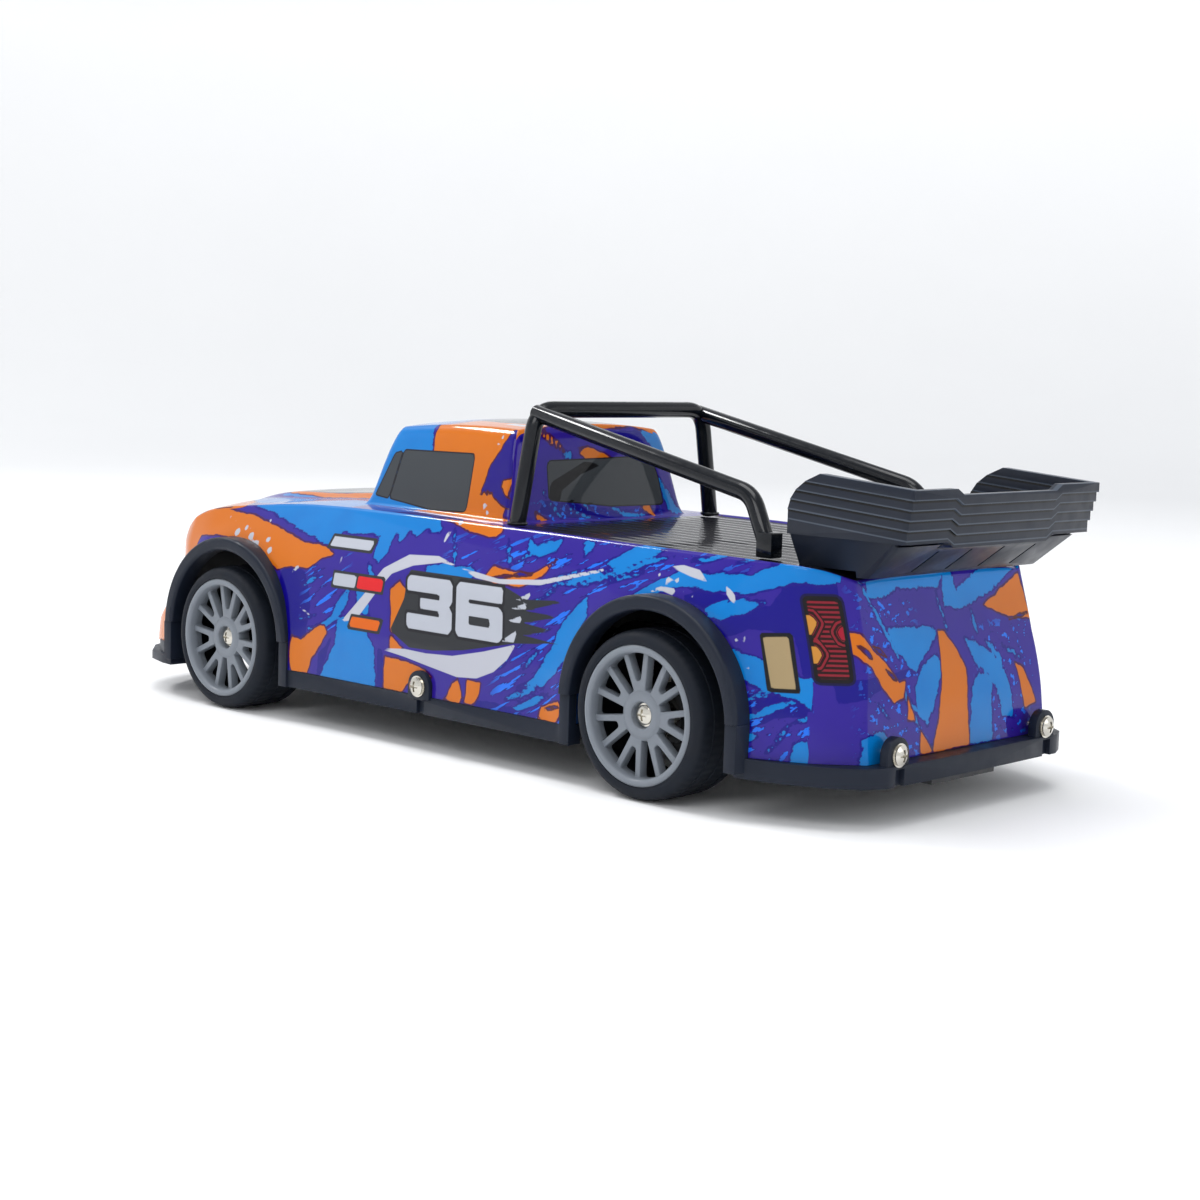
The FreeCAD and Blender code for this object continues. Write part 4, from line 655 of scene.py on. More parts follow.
REAR = {
    "streaks": [[(36, 61), (16, 61), (16, 15), (40, 15)], [(-10, 46), (-10, 16), (-30, 16), (-38, 46)]],
    "deep": [
        [(44, 36), (26, 37), (8, 38.4), (2, 36.4), (20, 35.6), (30, 34), (44, 30)],
        [(18, 18), (1, 18), (1, 15), (18, 15)],
    ],
    "cyan": [
        [(32.6, 61), (32.4, 55.4), (27, 55.2), (20, 57), (8, 56.6), (3, 56.4), (-2, 61)],
        [(27.6, 47.8), (8, 46.9), (6.8, 45), (17.6, 36.6), (20, 37.4), (25, 43)],
        [(18, 26), (18.4, 33), (14, 38), (8, 40), (6.4, 37), (10.4, 28), (14, 23)],
        [(1.6, 52), (-5, 50.2), (-20, 54), (-36, 60.4), (-20, 61), (-9, 57), (-5, 55), (-3.4, 61),
         (-0.4, 61)],
        [(-5.4, 43), (-9, 42), (-20, 36.6), (-24.6, 27), (-25, 21), (-20, 22), (-17.4, 30), (-12, 34.6),
         (-9, 36)],
        [(-4.4, 16), (-6.4, 30), (-9, 33.6), (-15.4, 33), (-14.8, 16)],
        [(-13.8, 42), (-16, 41.4), (-21, 36.6), (-19, 36.4)],
        [(41, 15), (40, 22), (33, 23.6), (29.4, 20), (29.4, 15)],
    ] + strokes([
        (36, 61, 24, 40, 0.9), (30, 37, 15, 24, 1.1), (24, 34, 16, 20, 0.9), (4, 55, 2, 46, 0.7),
        (-10, 50, -11, 44, 0.7), (-22, 40, -30, 36, 0.8), (34, 30, 30, 26, 0.8),
    ]),
    "orange": [
        [(40.4, 47.4), (37.4, 47), (34.4, 43), (29.8, 39.5), (25, 34.4), (22.6, 34.6), (23.6, 30.6),
         (27.6, 29.6), (31.4, 33), (35.6, 39), (40.4, 43)],
        [(21.8, 30.4), (19.4, 24.6), (22.2, 25.2)], [(16.8, 21.6), (12.4, 16), (17.2, 16)],
        [(6, 45.6), (3.4, 45.4), (-0.6, 41), (-4.2, 35.4), (-4, 16), (12, 16), (8.6, 25), (6.6, 34)],
        [(-16.4, 50.6), (-35, 58), (-37, 46), (-27, 47)],
        [(-27, 35), (-31, 33.4), (-36, 24), (-31, 23), (-29, 30)],
    ],
    "torn": strokes([
        (34, 44, 29, 41, 0.7), (30, 38, 26, 35, 0.6), (38, 44, 35, 41, 0.6), (-27, 46.4, -36, 47.4, 0.6),
    ]),
}
CAB_BACK = {
    "streaks": [[(26, 69.5), (-24, 67), (-24, 60), (26, 60)]],
    "deep": [
        [(-27, 77), (-31, 72), (-38, 64), (-33, 65), (-29, 69)],
        [(2, 90), (-6, 84), (-17, 84), (-24, 82), (-26, 90)],
        [(24, 70.6), (10, 69), (-4, 67), (-22, 66.8), (-28, 66), (-14, 64), (8, 64.6), (26, 66.6)],
        [(30, 92), (24, 92), (24.6, 86), (27, 80), (29, 84)],
    ],
    "cyan": [
        [(-25.8, 77), (-27.2, 72), (-29.8, 66), (-38, 63), (-33, 68), (-28.4, 74)],
        [(-20, 90), (-25, 85), (-29.5, 79.5), (-34, 79), (-34, 90)],
        [(14.4, 85), (11.4, 84), (9.6, 81.4), (13.6, 82.2)], stroke(24, 74, 17, 64, 0.9),
        stroke(14, 68, 6, 64.5, 1), stroke(-2.5, 68.2, -12, 64, 1.8), stroke(8, 69.6, 5.6, 66, 1),
        stroke(-8, 66, -20, 64.4, 1), stroke(-4, 90, -8, 84.6, 0.8),
    ],
    "orange": [
        [(24.2, 91), (20.6, 89.4), (15.2, 84.8), (18.8, 86.4)],
        [(21, 90), (17, 87), (13.4, 83.6), (15.4, 87.2)],
        [(8.4, 84.6), (4, 85.4), (-7, 81.6), (-2, 80.9), (5.2, 81.6)],
        [(-15.4, 68.2), (-20.2, 68.2), (-22.8, 63.6)], [(27, 67), (22, 64.4), (27, 64)],
    ],
    "glass": [
        [(20.6, 81.4), (-19.6, 82.2), (-24.6, 80), (-26.2, 76), (-27.4, 68), (-3, 68.3), (8, 69.4),
         (21.4, 70.6)],
    ],
    "swoosh": [
        [(6.2, 81.2), (20.4, 75.4), (21.6, 70.6), (17.6, 69.9), (-1.4, 67.9), (-1.4, 68.5), (17.2, 70.9),
         (17.8, 72.3), (8.1, 77.5), (-4.2, 81.2)],
    ],
}
TOP = {
    "cyan": [
        [(140, 30), (112, 40), (84, 43), (60, 48), (46, 48), (46, 34), (58, 31), (84, 30), (110, 27)],
        [(27, 33), (47, 30), (58, 20), (58, -20), (47, -30), (27, -33), (29, 0)],
    ],
    "orange": [
        [(139, 20), (126, 26), (112, 32), (100, 40), (92, 50), (112, 60), (139, 50)],
        [(26, 40), (23, 30), (21, 0), (23, -30), (26, -40), (-9, -40), (-7, -18), (-9, 0), (-7, 18),
         (-9, 40)],
        [(104, 23), (80, 25.5), (60, 26), (56, 22), (78, 23), (102, 21)],
    ],
    "charcoal": [
        [(131, 8), (120, 17), (98, 22), (58, 22.5), (53, 20), (53, -20), (58, -22.5), (98, -22),
         (120, -17), (131, -8)],
        [(22, 17), (10, 20), (-5, 18), (-7, 0), (-5, -18), (10, -20), (22, -17), (24, 0)],
    ],
    "bed": [
        [(-16.8, 45.4), (-110, 45.2), (-125, 42.8), (-131.5, 36), (-131.5, -36), (-125, -42.8),
         (-110, -45.2), (-16.8, -45.4)],
    ],
    "white": [[(6, 22.5), (-2, 23.5), (-4, 21), (4, 20)], [(20, 5), (12, 6), (12, 2), (20, 1)]],
}
FRONT = {
    "glass": [rounded([(30.5, 68), (28.5, 86), (-28.5, 86), (-30.5, 68)], 2)],
    "glass_frame": [rounded([(32.2, 66.6), (30, 87.4), (-30, 87.4), (-32.2, 66.6)], 2)],
    "orange": [
        [(44, 24), (30, 26), (20, 22), (-20, 22), (-30, 26), (-44, 24), (-44, 15), (44, 15)],
        [(46, 58), (33, 56), (30, 49), (46, 46)], [(-46, 58), (-33, 56), (-30, 49), (-46, 46)],
    ],
    "charcoal": [
        rounded([(25, 45), (22, 30), (-22, 30), (-25, 45)], 2),
        rounded([(20, 25), (18, 18), (-18, 18), (-20, 25)], 1.5),
    ],
    "lamp_glass": [
        rounded([(41, 46), (29, 45), (29, 36), (40, 34)], 1.6),
        rounded([(-41, 46), (-29, 45), (-29, 36), (-40, 34)], 1.6),
    ],
    "cyan": [[(46, 47), (26, 50), (0, 54), (-26, 50), (-46, 47), (-30, 56), (0, 60), (30, 56)]],
}
LAYERS = ["streaks", "deep", "cyan", "orange", "torn", "white", "charcoal", "number", "number_hole",
          "fins", "red", "badge", "glass_frame", "glass", "swoosh", "amber_frame", "amber", "lamp_glass",
          "bed"]
FAR = -6.0
NUMBER_X = -10.4                        # middle of the race number
READABLE = ("number", "number_hole")    # layers turned round on the right side, so that they read well


def layer_depths(verts, normals):
    """For each layer, how deep inside its outlines every vertex of the shell lies, by the way it faces."""
    x, z = verts[:, 0], verts[:, 2]
    upper = z > 64.5
    backward = normals[:, 0] < -0.55
    facing = {
        "side": (np.abs(normals[:, 1]) > 0.36) & ~(backward & ~upper & (x < -130)),
        "rear": backward & (x < -100), "cab_back": backward & (x > -60),
        "front": normals[:, 0] > 0.5, "top": (normals[:, 2] > 0.42) & (np.abs(normals[:, 1]) <= 0.62),
    }
    facing["side"] &= ~(facing["cab_back"] & (np.abs(normals[:, 1]) < 0.6))
    plane = {"side": verts[:, [0, 2]], "rear": verts[:, [1, 2]], "cab_back": verts[:, [1, 2]],
             "front": verts[:, [1, 2]], "top": np.stack([x, np.abs(verts[:, 1])], axis=1)}
    shapes = {"side": SIDE, "rear": REAR, "cab_back": CAB_BACK, "front": FRONT, "top": TOP}
    depths = {}
    for layer in LAYERS:
        depth = np.full(len(verts), FAR)
        for view, book in shapes.items():
            rows = np.nonzero(facing[view])[0]
            for outline in book.get(layer, []):
                low, high = np.min(outline, axis=0) + FAR, np.max(outline, axis=0) - FAR
                p = plane[view][rows]
                if view == "side" and layer in READABLE:
                    turned = np.array([2 * NUMBER_X, 0]) + p * np.array([-1, 1])
                    p = np.where(verts[rows, 1:2] < 0, turned, p)
                near = np.all((p > low) & (p < high), axis=1)
                if near.any():
                    depth[rows[near]] = np.maximum(depth[rows[near]], inside(p[near], outline))
        depths[layer] = depth
    return depths


# The tail lamps wrap the rear corners. Their outline is (distance round the corner, height).
LAMP = rounded([(-4.7, 55.8), (4.8, 55.8), (4.8, 35.2), (-4.7, 35.2)], 1.6)
LAMP_CELLS = {
    "lamp_amber": [[(-5.6, 51.4), (-3.0, 51.4), (-1.8, 49.4), (-3.8, 46.4), (-5.6, 46.4)],
                   [(-5.6, 44.0), (-3.0, 44.0), (-1.8, 42.0), (-3.4, 39.6), (-5.6, 39.6)]],
    "lamp_red": [[(5.6, 49.4), (3.2, 48.6), (2.2, 47.2), (3.0, 45.4), (5.6, 45.0)]],
}
LAMP_LINE = 1.15                        # pitch of the fine red lines in the lamps
LAMP_MIDDLE, LAMP_REACH = (-134.4, 45.0), 7.0
DIAGONAL = 0.70


def lamp_depths(verts):
    """How deep every vertex lies inside the tail lamps' parts."""
    x = verts[:, 0] - curve(verts[:, 2], TAIL_LEAN)
    y = np.abs(verts[:, 1])
    along, out = (x - LAMP_MIDDLE[0]) * DIAGONAL, (y - LAMP_MIDDLE[1]) * DIAGONAL
    round_corner = -along - out
    near = (np.abs(along - out) < LAMP_REACH) & (x < -124) & (y > 36)
    points = np.stack([round_corner, verts[:, 2]], axis=1)
    result = {}
    for name, outlines in {"lamp": [LAMP], **LAMP_CELLS}.items():
        depth = np.full(len(verts), FAR)
        for outline in outlines:
            depth = np.maximum(depth, inside(points, outline))
        result[name] = np.where(near, depth, FAR)
    return result


# Plain fields in the order of painting: layer, how far each reaches past its outline, colour.
FLAT_COLOURS = [
    ("white", 0.0, (176, 178, 188)), ("charcoal", 0.0, (38, 40, 44)), ("number", 0.85, (24, 24, 30)),
    ("number", 0.0, (172, 176, 186)), ("number_hole", 0.0, (38, 40, 44)), ("fins", 0.0, (172, 176, 186)),
    ("red", 0.0, (206, 24, 30)), ("badge", 0.0, (206, 92, 0)), ("glass_frame", 0.0, (8, 8, 14)),
    ("glass", 0.4, (20, 18, 26)), ("glass", 0.0, (56, 60, 64)), ("swoosh", 0.0, (6, 6, 10)),
    ("amber_frame", 0.0, (12, 12, 16)), ("amber", 0.0, (156, 136, 100)), ("lamp", 0.6, (10, 4, 60)),
    ("lamp", 0.0, (10, 6, 10)), ("lamp", -1.0, (34, 2, 6)),
]


def livery():
    """Lacquered shell: flat colour fields with ragged edges and thin dark outlines."""
    n = Nodes("race_livery")
    n.set(Roughness=0.35, Coat_Weight=0.8, Coat_Roughness=0.03, Coat_IOR=1.35, Specular_IOR_Level=0.05)
    slope = (0, math.radians(-30), 0)
    ragged = n.spread(n.noise(520.0, 4.0, n.coords((0.35, 1.0, 1.0), slope), 0.6), 0.25, 0.75, -0.7, 0.7)
    wavy = n.spread(n.noise(260.0, 2.0), 0.25, 0.75, -0.35, 0.35)
    brush = n.noise(560.0, 3.0, n.coords((0.12, 0.8, 1.0), slope), 0.55)

    def depth(layer):
        return n.add("ShaderNodeAttribute", attribute_name=layer).outputs["Fac"]

    def mask(layer, shift=0.0, soft=0.10):
        return n.spread(n.math("ADD", depth(layer), shift), -soft, soft, 0.0, 1.0)

    def both(a, b):
        return n.math("MULTIPLY", a, b)

    cloud = n.noise(60.0, 3.0)
    paint = n.mix(cloud, linear(38, 20, 128), linear(46, 28, 138))
    paint = n.mix(mask("deep", wavy), paint, linear(10, 0, 120))
    zone = mask("streaks", 0.0, 3.0)
    paint = n.mix(both(n.spread(brush, 0.575, 0.58, 0.0, 1.0), zone), paint, linear(10, 2, 108))
    paint = n.mix(both(n.spread(brush, 0.60, 0.61, 0.0, 1.0), zone), paint, linear(24, 104, 220))
    paint = n.mix(mask("cyan", n.math("ADD", ragged, 0.55)), paint, linear(18, 6, 118))
    paint = n.mix(mask("cyan", ragged), paint, n.mix(cloud, linear(0, 100, 176), linear(0, 124, 198)))
    paint = n.mix(mask("orange", n.math("ADD", wavy, 0.55)), paint, linear(58, 12, 70))
    paint = n.mix(mask("orange", wavy), paint, n.mix(cloud, linear(190, 98, 10), linear(200, 106, 12)))
    paint = n.mix(mask("torn", n.math("ADD", wavy, 0.45)), paint, linear(70, 14, 30))
    paint = n.mix(mask("torn", wavy), paint, linear(24, 4, 118))
    for layer, reach, colour in FLAT_COLOURS:
        paint = n.mix(mask(layer, reach), paint, linear(*colour))
    cells = n.math("MAXIMUM", depth("lamp_amber"), depth("lamp_red"))

    def fine_lines(value):
        wave = n.math("SINE", n.math("MULTIPLY", value, 2 * math.pi / LAMP_LINE))
        return n.spread(wave, 0.0, 0.25, 0.0, 1.0)

    round_cells = n.spread(cells, -1.75, -1.7, 0.0, 1.0)
    lines = n.mix(round_cells, fine_lines(n.axes()[2]), fine_lines(n.math("ADD", cells, 0.2)))
    lines = both(both(lines, n.spread(cells, -0.1, 0.0, 1.0, 0.0)), mask("lamp", -1.0))
    paint = n.mix(lines, paint, linear(128, 24, 38))
    paint = n.mix(both(mask("lamp_amber", -0.2), mask("lamp", -0.3)), paint, linear(186, 126, 50))
    paint = n.mix(both(mask("lamp_red", -0.2), mask("lamp", -0.8)), paint, linear(150, 16, 40))
    paint = n.mix(mask("lamp_glass"), paint, linear(196, 200, 208))
    paint = n.mix(mask("bed"), paint, n.mix(n.noise(30.0, 2.0), linear(16, 16, 20), linear(30, 30, 36)))
    n.colour(paint)
    n.bump(n.noise(30.0, 1.0), 0.03, 0.0003)
    return n.material


def make_shell():
    grid = shell_grid()
    count, lines = grid.shape[:2]
    verts = grid.reshape(-1, 3)
    faces = quads(0, count, lines)
    first_top, last_top = WALL_ROWS - 1, lines - WALL_ROWS
    tail_edge, nose_edge = grid[0, :WALL_ROWS], grid[-1, :WALL_ROWS]
    tail = end_patch(tail_edge, grid[0, first_top:last_top + 1], 0.0, lambda z: 1.0)
    nose = end_patch(nose_edge, grid[-1, first_top:last_top + 1], NOSE_BOW,
                     lambda z: 0.4 + 0.6 * smooth(16, 32, z))
    blocks = [verts]
    for patch, flip in ((tail, True), (nose, False)):
        start = sum(len(b) for b in blocks)
        faces += quads(start, patch.shape[0], patch.shape[1], flip)
        blocks.append(patch.reshape(-1, 3))
    verts = np.vstack(blocks)
    centres = np.array([verts[list(f)].mean(0) for f in faces])
    keep = np.ones(len(faces), bool)
    for x in ARCH_X:
        gap = (np.hypot(centres[:, 0] - x, np.maximum(centres[:, 2] - ARCH_Z, 0)) < ARCH_CUT_R)
        keep &= ~(gap & (np.abs(centres[:, 1]) > 40) & (centres[:, 2] < 60))
    faces = [f for f, k in zip(faces, keep) if k]
    shell = add("painted_shell", verts, faces, [livery(), UNDER], "chassis", ["body_shell"])
    bm = bmesh.new()
    bm.from_mesh(shell.data)
    bmesh.ops.remove_doubles(bm, verts=bm.verts, dist=0.00002)
    loose = [v for v in bm.verts if not v.link_faces]
    bmesh.ops.delete(bm, geom=loose, context="VERTS")
    bmesh.ops.recalc_face_normals(bm, faces=bm.faces)
    up = max(bm.faces, key=lambda f: f.calc_center_median().z)
    if up.normal.z < 0:
        bmesh.ops.reverse_faces(bm, faces=bm.faces)
    bm.to_mesh(shell.data)
    bm.free()
    mesh = shell.data
    co = np.empty(len(mesh.vertices) * 3)
    no = np.empty(len(mesh.vertices) * 3)
    mesh.vertices.foreach_get("co", co)
    mesh.vertices.foreach_get("normal", no)
    co, no = co.reshape(-1, 3) / MM, no.reshape(-1, 3)
    depths = layer_depths(co, no)
    depths.update(lamp_depths(co))
    for layer, depth in depths.items():
        attribute = mesh.attributes.new(layer, "FLOAT", "POINT")
        attribute.data.foreach_set("value", depth.astype(np.float32))
    thick = shell.modifiers.new("thickness", "SOLIDIFY")
    thick.thickness = SHELL_T * MM
    thick.offset = -1.0
    thick.use_even_offset = False
    thick.material_offset = 1
    thick.material_offset_rim = 1
    applied(shell)
    return shade(shell, 80.0)


make_shell()


# ---- wheels --------------------------------------------------------------------------------
TURN_STEPS = 240
TYRE_PROFILE = [(41.25, 18.2), (41, 19), (41.15, 20.2), (41.8, 21.1), (42.8, 21.65), (43.6, 21.85),
                (45.6, 21.95), (46.4, 22), (50.6, 22), (51.4, 22), (55.6, 22), (56.4, 21.95),
                (57.9, 21.85), (59, 21.6), (59.9, 21.1), (60.5, 20.4), (60.8, 19.6), (60.85, 19),
                (60.6, 18.2)]
GROOVES, GROOVE_DEEP, CUT_DEEP = ((45.7, 46.3), (50.7, 51.3), (55.7, 56.3)), 0.35, 0.14
TREAD_Y, TREAD_FROM_R = (42.9, 59.1), 21.0
CUTS_ROUND = 60
BARREL = [(41.2, 18.2), (41.2, 17.3), (55.4, 17.05), (56.9, 16.2), (57.6, 15.9), (59.8, 16.05),
          (60.5, 16.25), (60.85, 16.6), (61, 17.1), (60.9, 17.6), (60.55, 18), (60.2, 18.2)]
HUB = [(54.4, 2.1), (54.4, 6.5), (57.6, 6.7), (58.3, 6.5), (58.7, 6), (58.9, 5.2), (58.95, 4.2),
       (58.85, 3.75), (58.6, 3.5), (56.7, 3.3), (56.7, 2.1)]
SPOKE_Y = (55.7, 58.5)
SPOKE_PAIRS, GAP_END = 7, 16.15
GAPS = ((6.3, 0.95), (8.8, 0.75))       # inner radius and half width of the two kinds of gap
SPOKE_HALF = 0.82
HUB_CLEAR_R, INSIDE_R = 8.0, 17.35      # the inside of the barrel is painted dark between these radii, as painted shade


def lathe(profile, steps, radius=None):
    """Vertices and faces of a closed profile of (y, r) points turned about the wheel's axis."""
    verts, faces = [], []
    count = len(profile)
    for k in range(steps):
        a = 2 * math.pi * k / steps
        for y, r in profile:
            r = radius(y, r, k) if radius else r
            verts.append((r * math.cos(a), y, r * math.sin(a)))
    for k in range(steps):
        for j in range(count):
            b, i = (k + 1) % steps * count, (j + 1) % count
            faces.append((k * count + j, b + j, b + i, k * count + i))
    return verts, faces


def tread_lines():
    """The tyre's profile with extra lines at the edges of the grooves, from the inner to the outer bead."""
    ys = []
    for low, high in GROOVES:
        ys += [low - 0.02, low + 0.08, high - 0.08, high + 0.02]
    ys += [43.3, 44.4, 47.6, 49.2, 52.6, 54.2, 57.4, 58.7]
    table = TYRE_PROFILE[3:15]
    extra = [(y, float(np.interp(y, [p[0] for p in table], [p[1] for p in table]))) for y in ys]
    tread = sorted(set(table + extra))
    return TYRE_PROFILE[:3] + tread + TYRE_PROFILE[15:]


def tread_radius(y, r, k):
    """Radius of the tyre's surface with its grooves and the cuts between its blocks."""
    if not TREAD_Y[0] <= y <= TREAD_Y[1] or r < TREAD_FROM_R:
        return r
    for low, high in GROOVES:
        if low + 0.05 <= y <= high - 0.05:
            return r - GROOVE_DEEP
    row = sum(y > groove[1] for groove in GROOVES)
    per_block = TURN_STEPS // CUTS_ROUND
    return r - CUT_DEEP if (k + 2 * (row % 2)) % per_block == 0 else r


def gap_outline(angle, inner, half):
    """Opening between two spokes, seen along the axis."""
    def at(r, off):
        return (r * math.cos(angle) - off * math.sin(angle), r * math.sin(angle) + off * math.cos(angle))
    reach = math.pi / (2 * SPOKE_PAIRS) - math.asin(SPOKE_HALF / GAP_END)
    turns = [angle + reach * t for t in (-1, -0.4, 0.4, 1)]
    arc = [(GAP_END * math.cos(a), GAP_END * math.sin(a)) for a in turns]
    return rounded([at(inner, -half)] + arc + [at(inner, half)], 0.75)


def spoke_disc(first_gap):
    """Mesh of the spoked disc, with softened edges, lying in the plane y = 0 and centred on its thickness."""
    data = bpy.data.curves.new("spoke_disc", "CURVE")
    data.dimensions = "2D"
    data.fill_mode = "BOTH"
    bevel = 0.28
    data.extrude = ((SPOKE_Y[1] - SPOKE_Y[0]) / 2 - bevel) * MM
    data.bevel_depth = bevel * MM
    data.bevel_resolution = 2
    data.offset = -bevel * MM
    outlines = [circle(0, 0, 16.9, 84), circle(0, 0, 5.4, 48)[::-1]]
    for k in range(2 * SPOKE_PAIRS):
        inner, half = GAPS[k % 2]
        outlines.append(gap_outline(first_gap + math.pi * k / SPOKE_PAIRS, inner, half)[::-1])
    for outline in outlines:
        spline = data.splines.new("POLY")
        spline.points.add(len(outline) - 1)
        spline.use_cyclic_u = True
        for point, (u, v) in zip(spline.points, outline):
            point.co = (u * MM, v * MM, 0, 1)
    holder = bpy.data.objects.new("spoke_disc", data)
    bpy.context.scene.collection.objects.link(holder)
    bpy.context.view_layer.update()
    mesh = bpy.data.meshes.new_from_object(holder.evaluated_get(bpy.context.evaluated_depsgraph_get()))
    bpy.data.objects.remove(holder)
    return mesh


def wheel_mesh(name, parts, end, side):
    """One mesh from millimetre parts (vertices, faces) about the axis, moved to its wheel."""
    bm = bmesh.new()
    sign = 1 if side == "left" else -1
    for verts, faces in parts:
        made = [bm.verts.new((MM * (X_AXLE[end] + x), MM * sign * y, MM * (Z_AXLE + z))) for x, y, z in verts]
        for face in faces:
            bm.faces.new([made[i] for i in face])
    bmesh.ops.remove_doubles(bm, verts=bm.verts, dist=0.000004)
    bmesh.ops.recalc_face_normals(bm, faces=bm.faces)
    mesh = bpy.data.meshes.new(name)
    bm.to_mesh(mesh)
    bm.free()
    return mesh


def make_wheel(end, side):
    tag = f"{end}_{side}"
    tyre = lathe(tread_lines(), TURN_STEPS, tread_radius)
    piece = declare(f"tyre_{tag}_tread", wheel_mesh("tyre", [tyre], end, side), TYRE, f"wheel_{tag}",
                    [f"tyre_{tag}"])
    shade(piece, 32.0)
    disc = spoke_disc(math.radians(80.0 if end == "rear" else 94.0) + math.pi / SPOKE_PAIRS)
    middle = sum(SPOKE_Y) / 2
    disc_verts = [(v.co.x / MM, middle - v.co.z / MM, v.co.y / MM) for v in disc.vertices]
    disc_faces = [tuple(p.vertices) for p in disc.polygons]
    parts = [lathe(BARREL, 120), lathe(HUB, 72), (disc_verts, disc_faces)]
    piece = declare(f"rim_{tag}_cast", wheel_mesh("rim", parts, end, side), [RIM, RIM_PAINTED_SHADE], f"wheel_{tag}",
                    [f"rim_{tag}"])
    # Faces inside the barrel, behind the spokes, take the dark material as painted shade.
    for face in piece.data.polygons:
        x, y, z = face.center / MM
        reach = math.hypot(x - X_AXLE[end], z - Z_AXLE)
        face.material_index = int(abs(y) < SPOKE_Y[0] - 0.2 and HUB_CLEAR_R < reach < INSIDE_R)
    shade(piece, 35.0)


for end in ("front", "rear"):
    for side in SIDES:
        make_wheel(end, side)


# ---- roll cage -----------------------------------------------------------------------------
CAGE_R, HOOP_BEND, STAY_BEND_R = 2.35, 6.5, 4.0
HOOP_FOOT, HOOP_TOP = (-19.4, 41.0, 64.6), (-19.8, 35.0, 96.6)
STAY_BEND, STAY_FOOT = (-98.3, 35.3, 78.4), (-107.0, 38.2, 64.4)


def bent(points, radius):
    """The polyline with each inner corner turned into a smooth bend."""
    p = [np.array(q, float) for q in points]
    line = [p[0]]
    for before, corner, after in zip(p, p[1:], p[2:]):
        start = corner + (before - corner) / np.linalg.norm(before - corner) * radius
        end = corner + (after - corner) / np.linalg.norm(after - corner) * radius
        for t in np.linspace(0, 1, 9):
            line.append(start * (1 - t) ** 2 + corner * 2 * t * (1 - t) + end * t ** 2)
    return line + [p[-1]]


def sweep(line, radius, sides=28):
    """Round bar along a polyline, with closed ends."""
    verts, faces = [], []
    normal = None
    for i, point in enumerate(line):
        ahead = line[min(i + 1, len(line) - 1)] - line[max(i - 1, 0)]
        ahead = ahead / np.linalg.norm(ahead)
        if normal is None:
            normal = np.cross(ahead, (0.3, 0.5, 0.8))
        normal = normal - ahead * (normal @ ahead)
        normal = normal / np.linalg.norm(normal)
        side = np.cross(ahead, normal)
        for k in range(sides):
            a = 2 * math.pi * k / sides
            verts.append(tuple(point + radius * (normal * math.cos(a) + side * math.sin(a))))
    for i in range(len(line) - 1):
        for k in range(sides):
            a, b = i * sides, (i + 1) * sides
            faces.append((a + k, b + k, b + (k + 1) % sides, a + (k + 1) % sides))
    faces.append(tuple(range(sides)))
    faces.append(tuple(range((len(line) - 1) * sides, len(line) * sides))[::-1])
    return verts, faces


def slab(x, y, z):
    """Block between the pairs x, y and z."""
    verts = [(x[i], y[j], z[k]) for i in (0, 1) for j in (0, 1) for k in (0, 1)]
    return verts, [(0, 1, 3, 2), (4, 6, 7, 5), (0, 4, 5, 1), (2, 3, 7, 6), (0, 2, 6, 4), (1, 5, 7, 3)]


def make_cage():
    """Hoop and two stays of bent round bar, on their feet."""
    def far(p):
        return (p[0], -p[1], p[2])
    parts = [sweep(bent([HOOP_FOOT, HOOP_TOP, far(HOOP_TOP), far(HOOP_FOOT)], HOOP_BEND), CAGE_R)]
    for flip in (lambda p: p, far):
        start = (HOOP_TOP[0] + 1.0, HOOP_TOP[1] - 0.6, HOOP_TOP[2] - 0.9)
        parts.append(sweep(bent([flip(start), flip(STAY_BEND), flip(STAY_FOOT)], STAY_BEND_R), CAGE_R))
        foot = HOOP_FOOT[:2] + (HOOP_FOOT[2] + 1.0,)
        parts.append(sweep([np.array(flip(HOOP_FOOT)), np.array(flip(foot))], 2.9))
        sign = flip((0, 1, 0))[1]
        parts.append(slab((-109.4, -104.4), sorted((sign * 36.0, sign * 40.6)), (63.2, 69.6)))
    verts, faces = [], []
    for more, shapes in parts:
        faces += [tuple(i + len(verts) for i in f) for f in shapes]
        verts += more
    cage = add("roll_cage_bent", verts, faces, CAGE, "chassis", ["roll_cage"])
    bm = bmesh.new()
    bm.from_mesh(cage.data)
    bmesh.ops.recalc_face_normals(bm, faces=bm.faces)
    bm.to_mesh(cage.data)
    bm.free()
    return shade(broken_edges(cage, 0.35, 50.0), 40.0)


# ---- the rest of the moulded pieces ----------------------------------------------------------
for node in ("front_bumper", "rear_bumper", "side_skirts", "arch_trims"):
    softened(node, "chassis", TRIM)
make_cage()
softened("rear_wing", "chassis", WING, 0.16)

PLAIN = {
    "chassis_plate": UNDER, "front_gearbox": UNDER, "rear_gearbox": UNDER, "hinge_pins": STEEL, "motor": CAN,
    "battery_pack": WRAP, "receiver_box": CASE, "steering_servo": CASE, "power_switch": RED,
    "body_screws": NICKEL,
    "centre_shaft": STEEL, "spur_gear": NYLON, "motor_pinion": STEEL, "front_diff_output": STEEL,
    "rear_diff_output": STEEL, "servo_horn": NYLON, "steering_rack": ARM,
}
BY_START = {"lower_arm": ARM, "upper_link": ARM, "hub_carrier": ARM, "steering_knuckle": ARM, "tie_rod": ARM,
            "half_shaft": STEEL, "wheel_axle": NICKEL, "spring": COIL}
for node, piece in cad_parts.items():
    material = PLAIN.get(node)
    for start, choice in BY_START.items():
        if node.startswith(start):
            material = choice
    if material:
        piece.data.materials.clear()
        piece.data.materials.append(material)


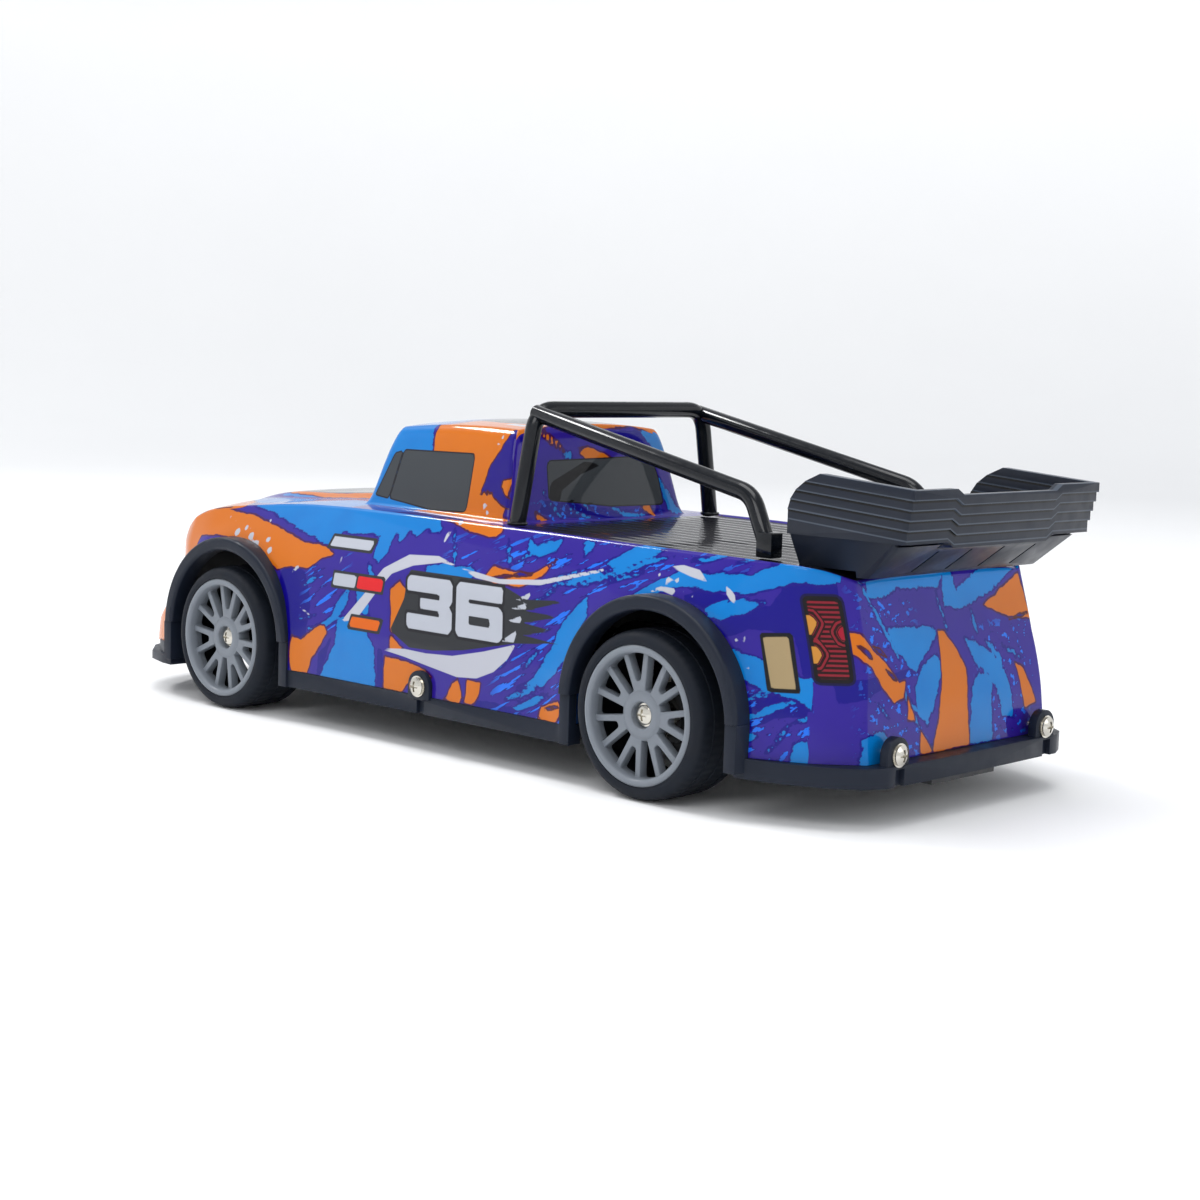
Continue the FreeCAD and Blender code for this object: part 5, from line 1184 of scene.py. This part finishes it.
# ---- stage ---------------------------------------------------------------------------------
def stage():
    """A pale floor that sweeps up all round, like a studio's paper backdrop."""
    mesh = bpy.data.meshes.new("floor")
    radii = list(np.linspace(0.0, 1.3, 14)[1:]) + list(np.linspace(1.3, 3.4, 22)[1:])
    around = 72
    verts = [(0.0, 0.0, 0.0)]
    for r in radii:
        rise = 0.55 * max(0.0, r - 1.3) ** 1.8
        verts += [(r * math.cos(2 * math.pi * k / around), r * math.sin(2 * math.pi * k / around), rise)
                  for k in range(around)]
    faces = [(0, 1 + k, 1 + (k + 1) % around) for k in range(around)]
    for ring in range(len(radii) - 1):
        for k in range(around):
            a, b = 1 + ring * around, 1 + (ring + 1) * around
            faces.append((a + k, b + k, b + (k + 1) % around, a + (k + 1) % around))
    mesh.from_pydata(verts, [], faces)
    mesh.polygons.foreach_set("use_smooth", [True] * len(faces))
    floor = bpy.data.objects.new("floor", mesh)
    bpy.context.scene.collection.objects.link(floor)
    n = Nodes("pale_floor")
    n.colour(n.mix(n.noise(6.0, 2.0), (0.90, 0.905, 0.91, 1.0), (0.93, 0.935, 0.94, 1.0)))
    n.set(Roughness=0.8, Specular_IOR_Level=0.2)
    n.link(n.spread(n.axes()[2], 0.0, 500.0, 0.0, 0.3), n.shader.inputs["Emission Strength"])
    mesh.materials.append(n.material)
    world = bpy.data.worlds.new("studio")
    bpy.context.scene.world = world
    world.use_nodes = True
    world.node_tree.nodes["Background"].inputs["Color"].default_value = (0.94, 0.96, 1.0, 1.0)
    world.node_tree.nodes["Background"].inputs["Strength"].default_value = 0.56
    bpy.context.scene.view_settings.view_transform = "Standard"


def lamp(name, place, target, size, power, colour=(1, 1, 1)):
    data = bpy.data.lights.new(name, "AREA")
    data.shape = "RECTANGLE"
    data.size, data.size_y = size
    data.energy = power
    data.color = colour
    light = bpy.data.objects.new(name, data)
    bpy.context.scene.collection.objects.link(light)
    light.location = place
    light.rotation_euler = (Vector(target) - Vector(place)).to_track_quat("-Z", "Y").to_euler()


def camera():
    yaw, pitch, roll = math.radians(-46.67), math.radians(-6.66), math.radians(1.77)
    look = Vector((math.cos(pitch) * math.cos(yaw), math.cos(pitch) * math.sin(yaw), math.sin(pitch)))
    right = look.cross(Vector((0, 0, 1))).normalized()
    up = right.cross(look)
    right, up = (right * math.cos(roll) + up * math.sin(roll), up * math.cos(roll) - right * math.sin(roll))
    data = bpy.data.cameras.new("camera")
    data.sensor_width = 36.0
    data.lens = 64.07
    data.clip_start = 0.01
    data.clip_end = 20.0
    shot = bpy.data.objects.new("camera", data)
    bpy.context.scene.collection.objects.link(shot)
    turn = Matrix((right, up, -look)).transposed().to_4x4()
    shot.matrix_world = Matrix.Translation((-0.442, 0.4546, 0.1134)) @ turn
    bpy.context.scene.camera = shot


stage()
lamp("key", (-0.5, 1.0, 1.1), (0, 0, 0.04), (0.9, 0.5), 5.2)
lamp("fill", (-1.1, -0.3, 0.6), (0, 0, 0.04), (0.6, 0.6), 1.6)
lamp("top", (0.0, 0.1, 1.3), (0, 0, 0), (0.9, 0.7), 8.0)
lamp("belt_edge", (1.05, 0.2, 1.15), (0, 0, 0.06), (0.4, 0.2), 8.0)
camera()
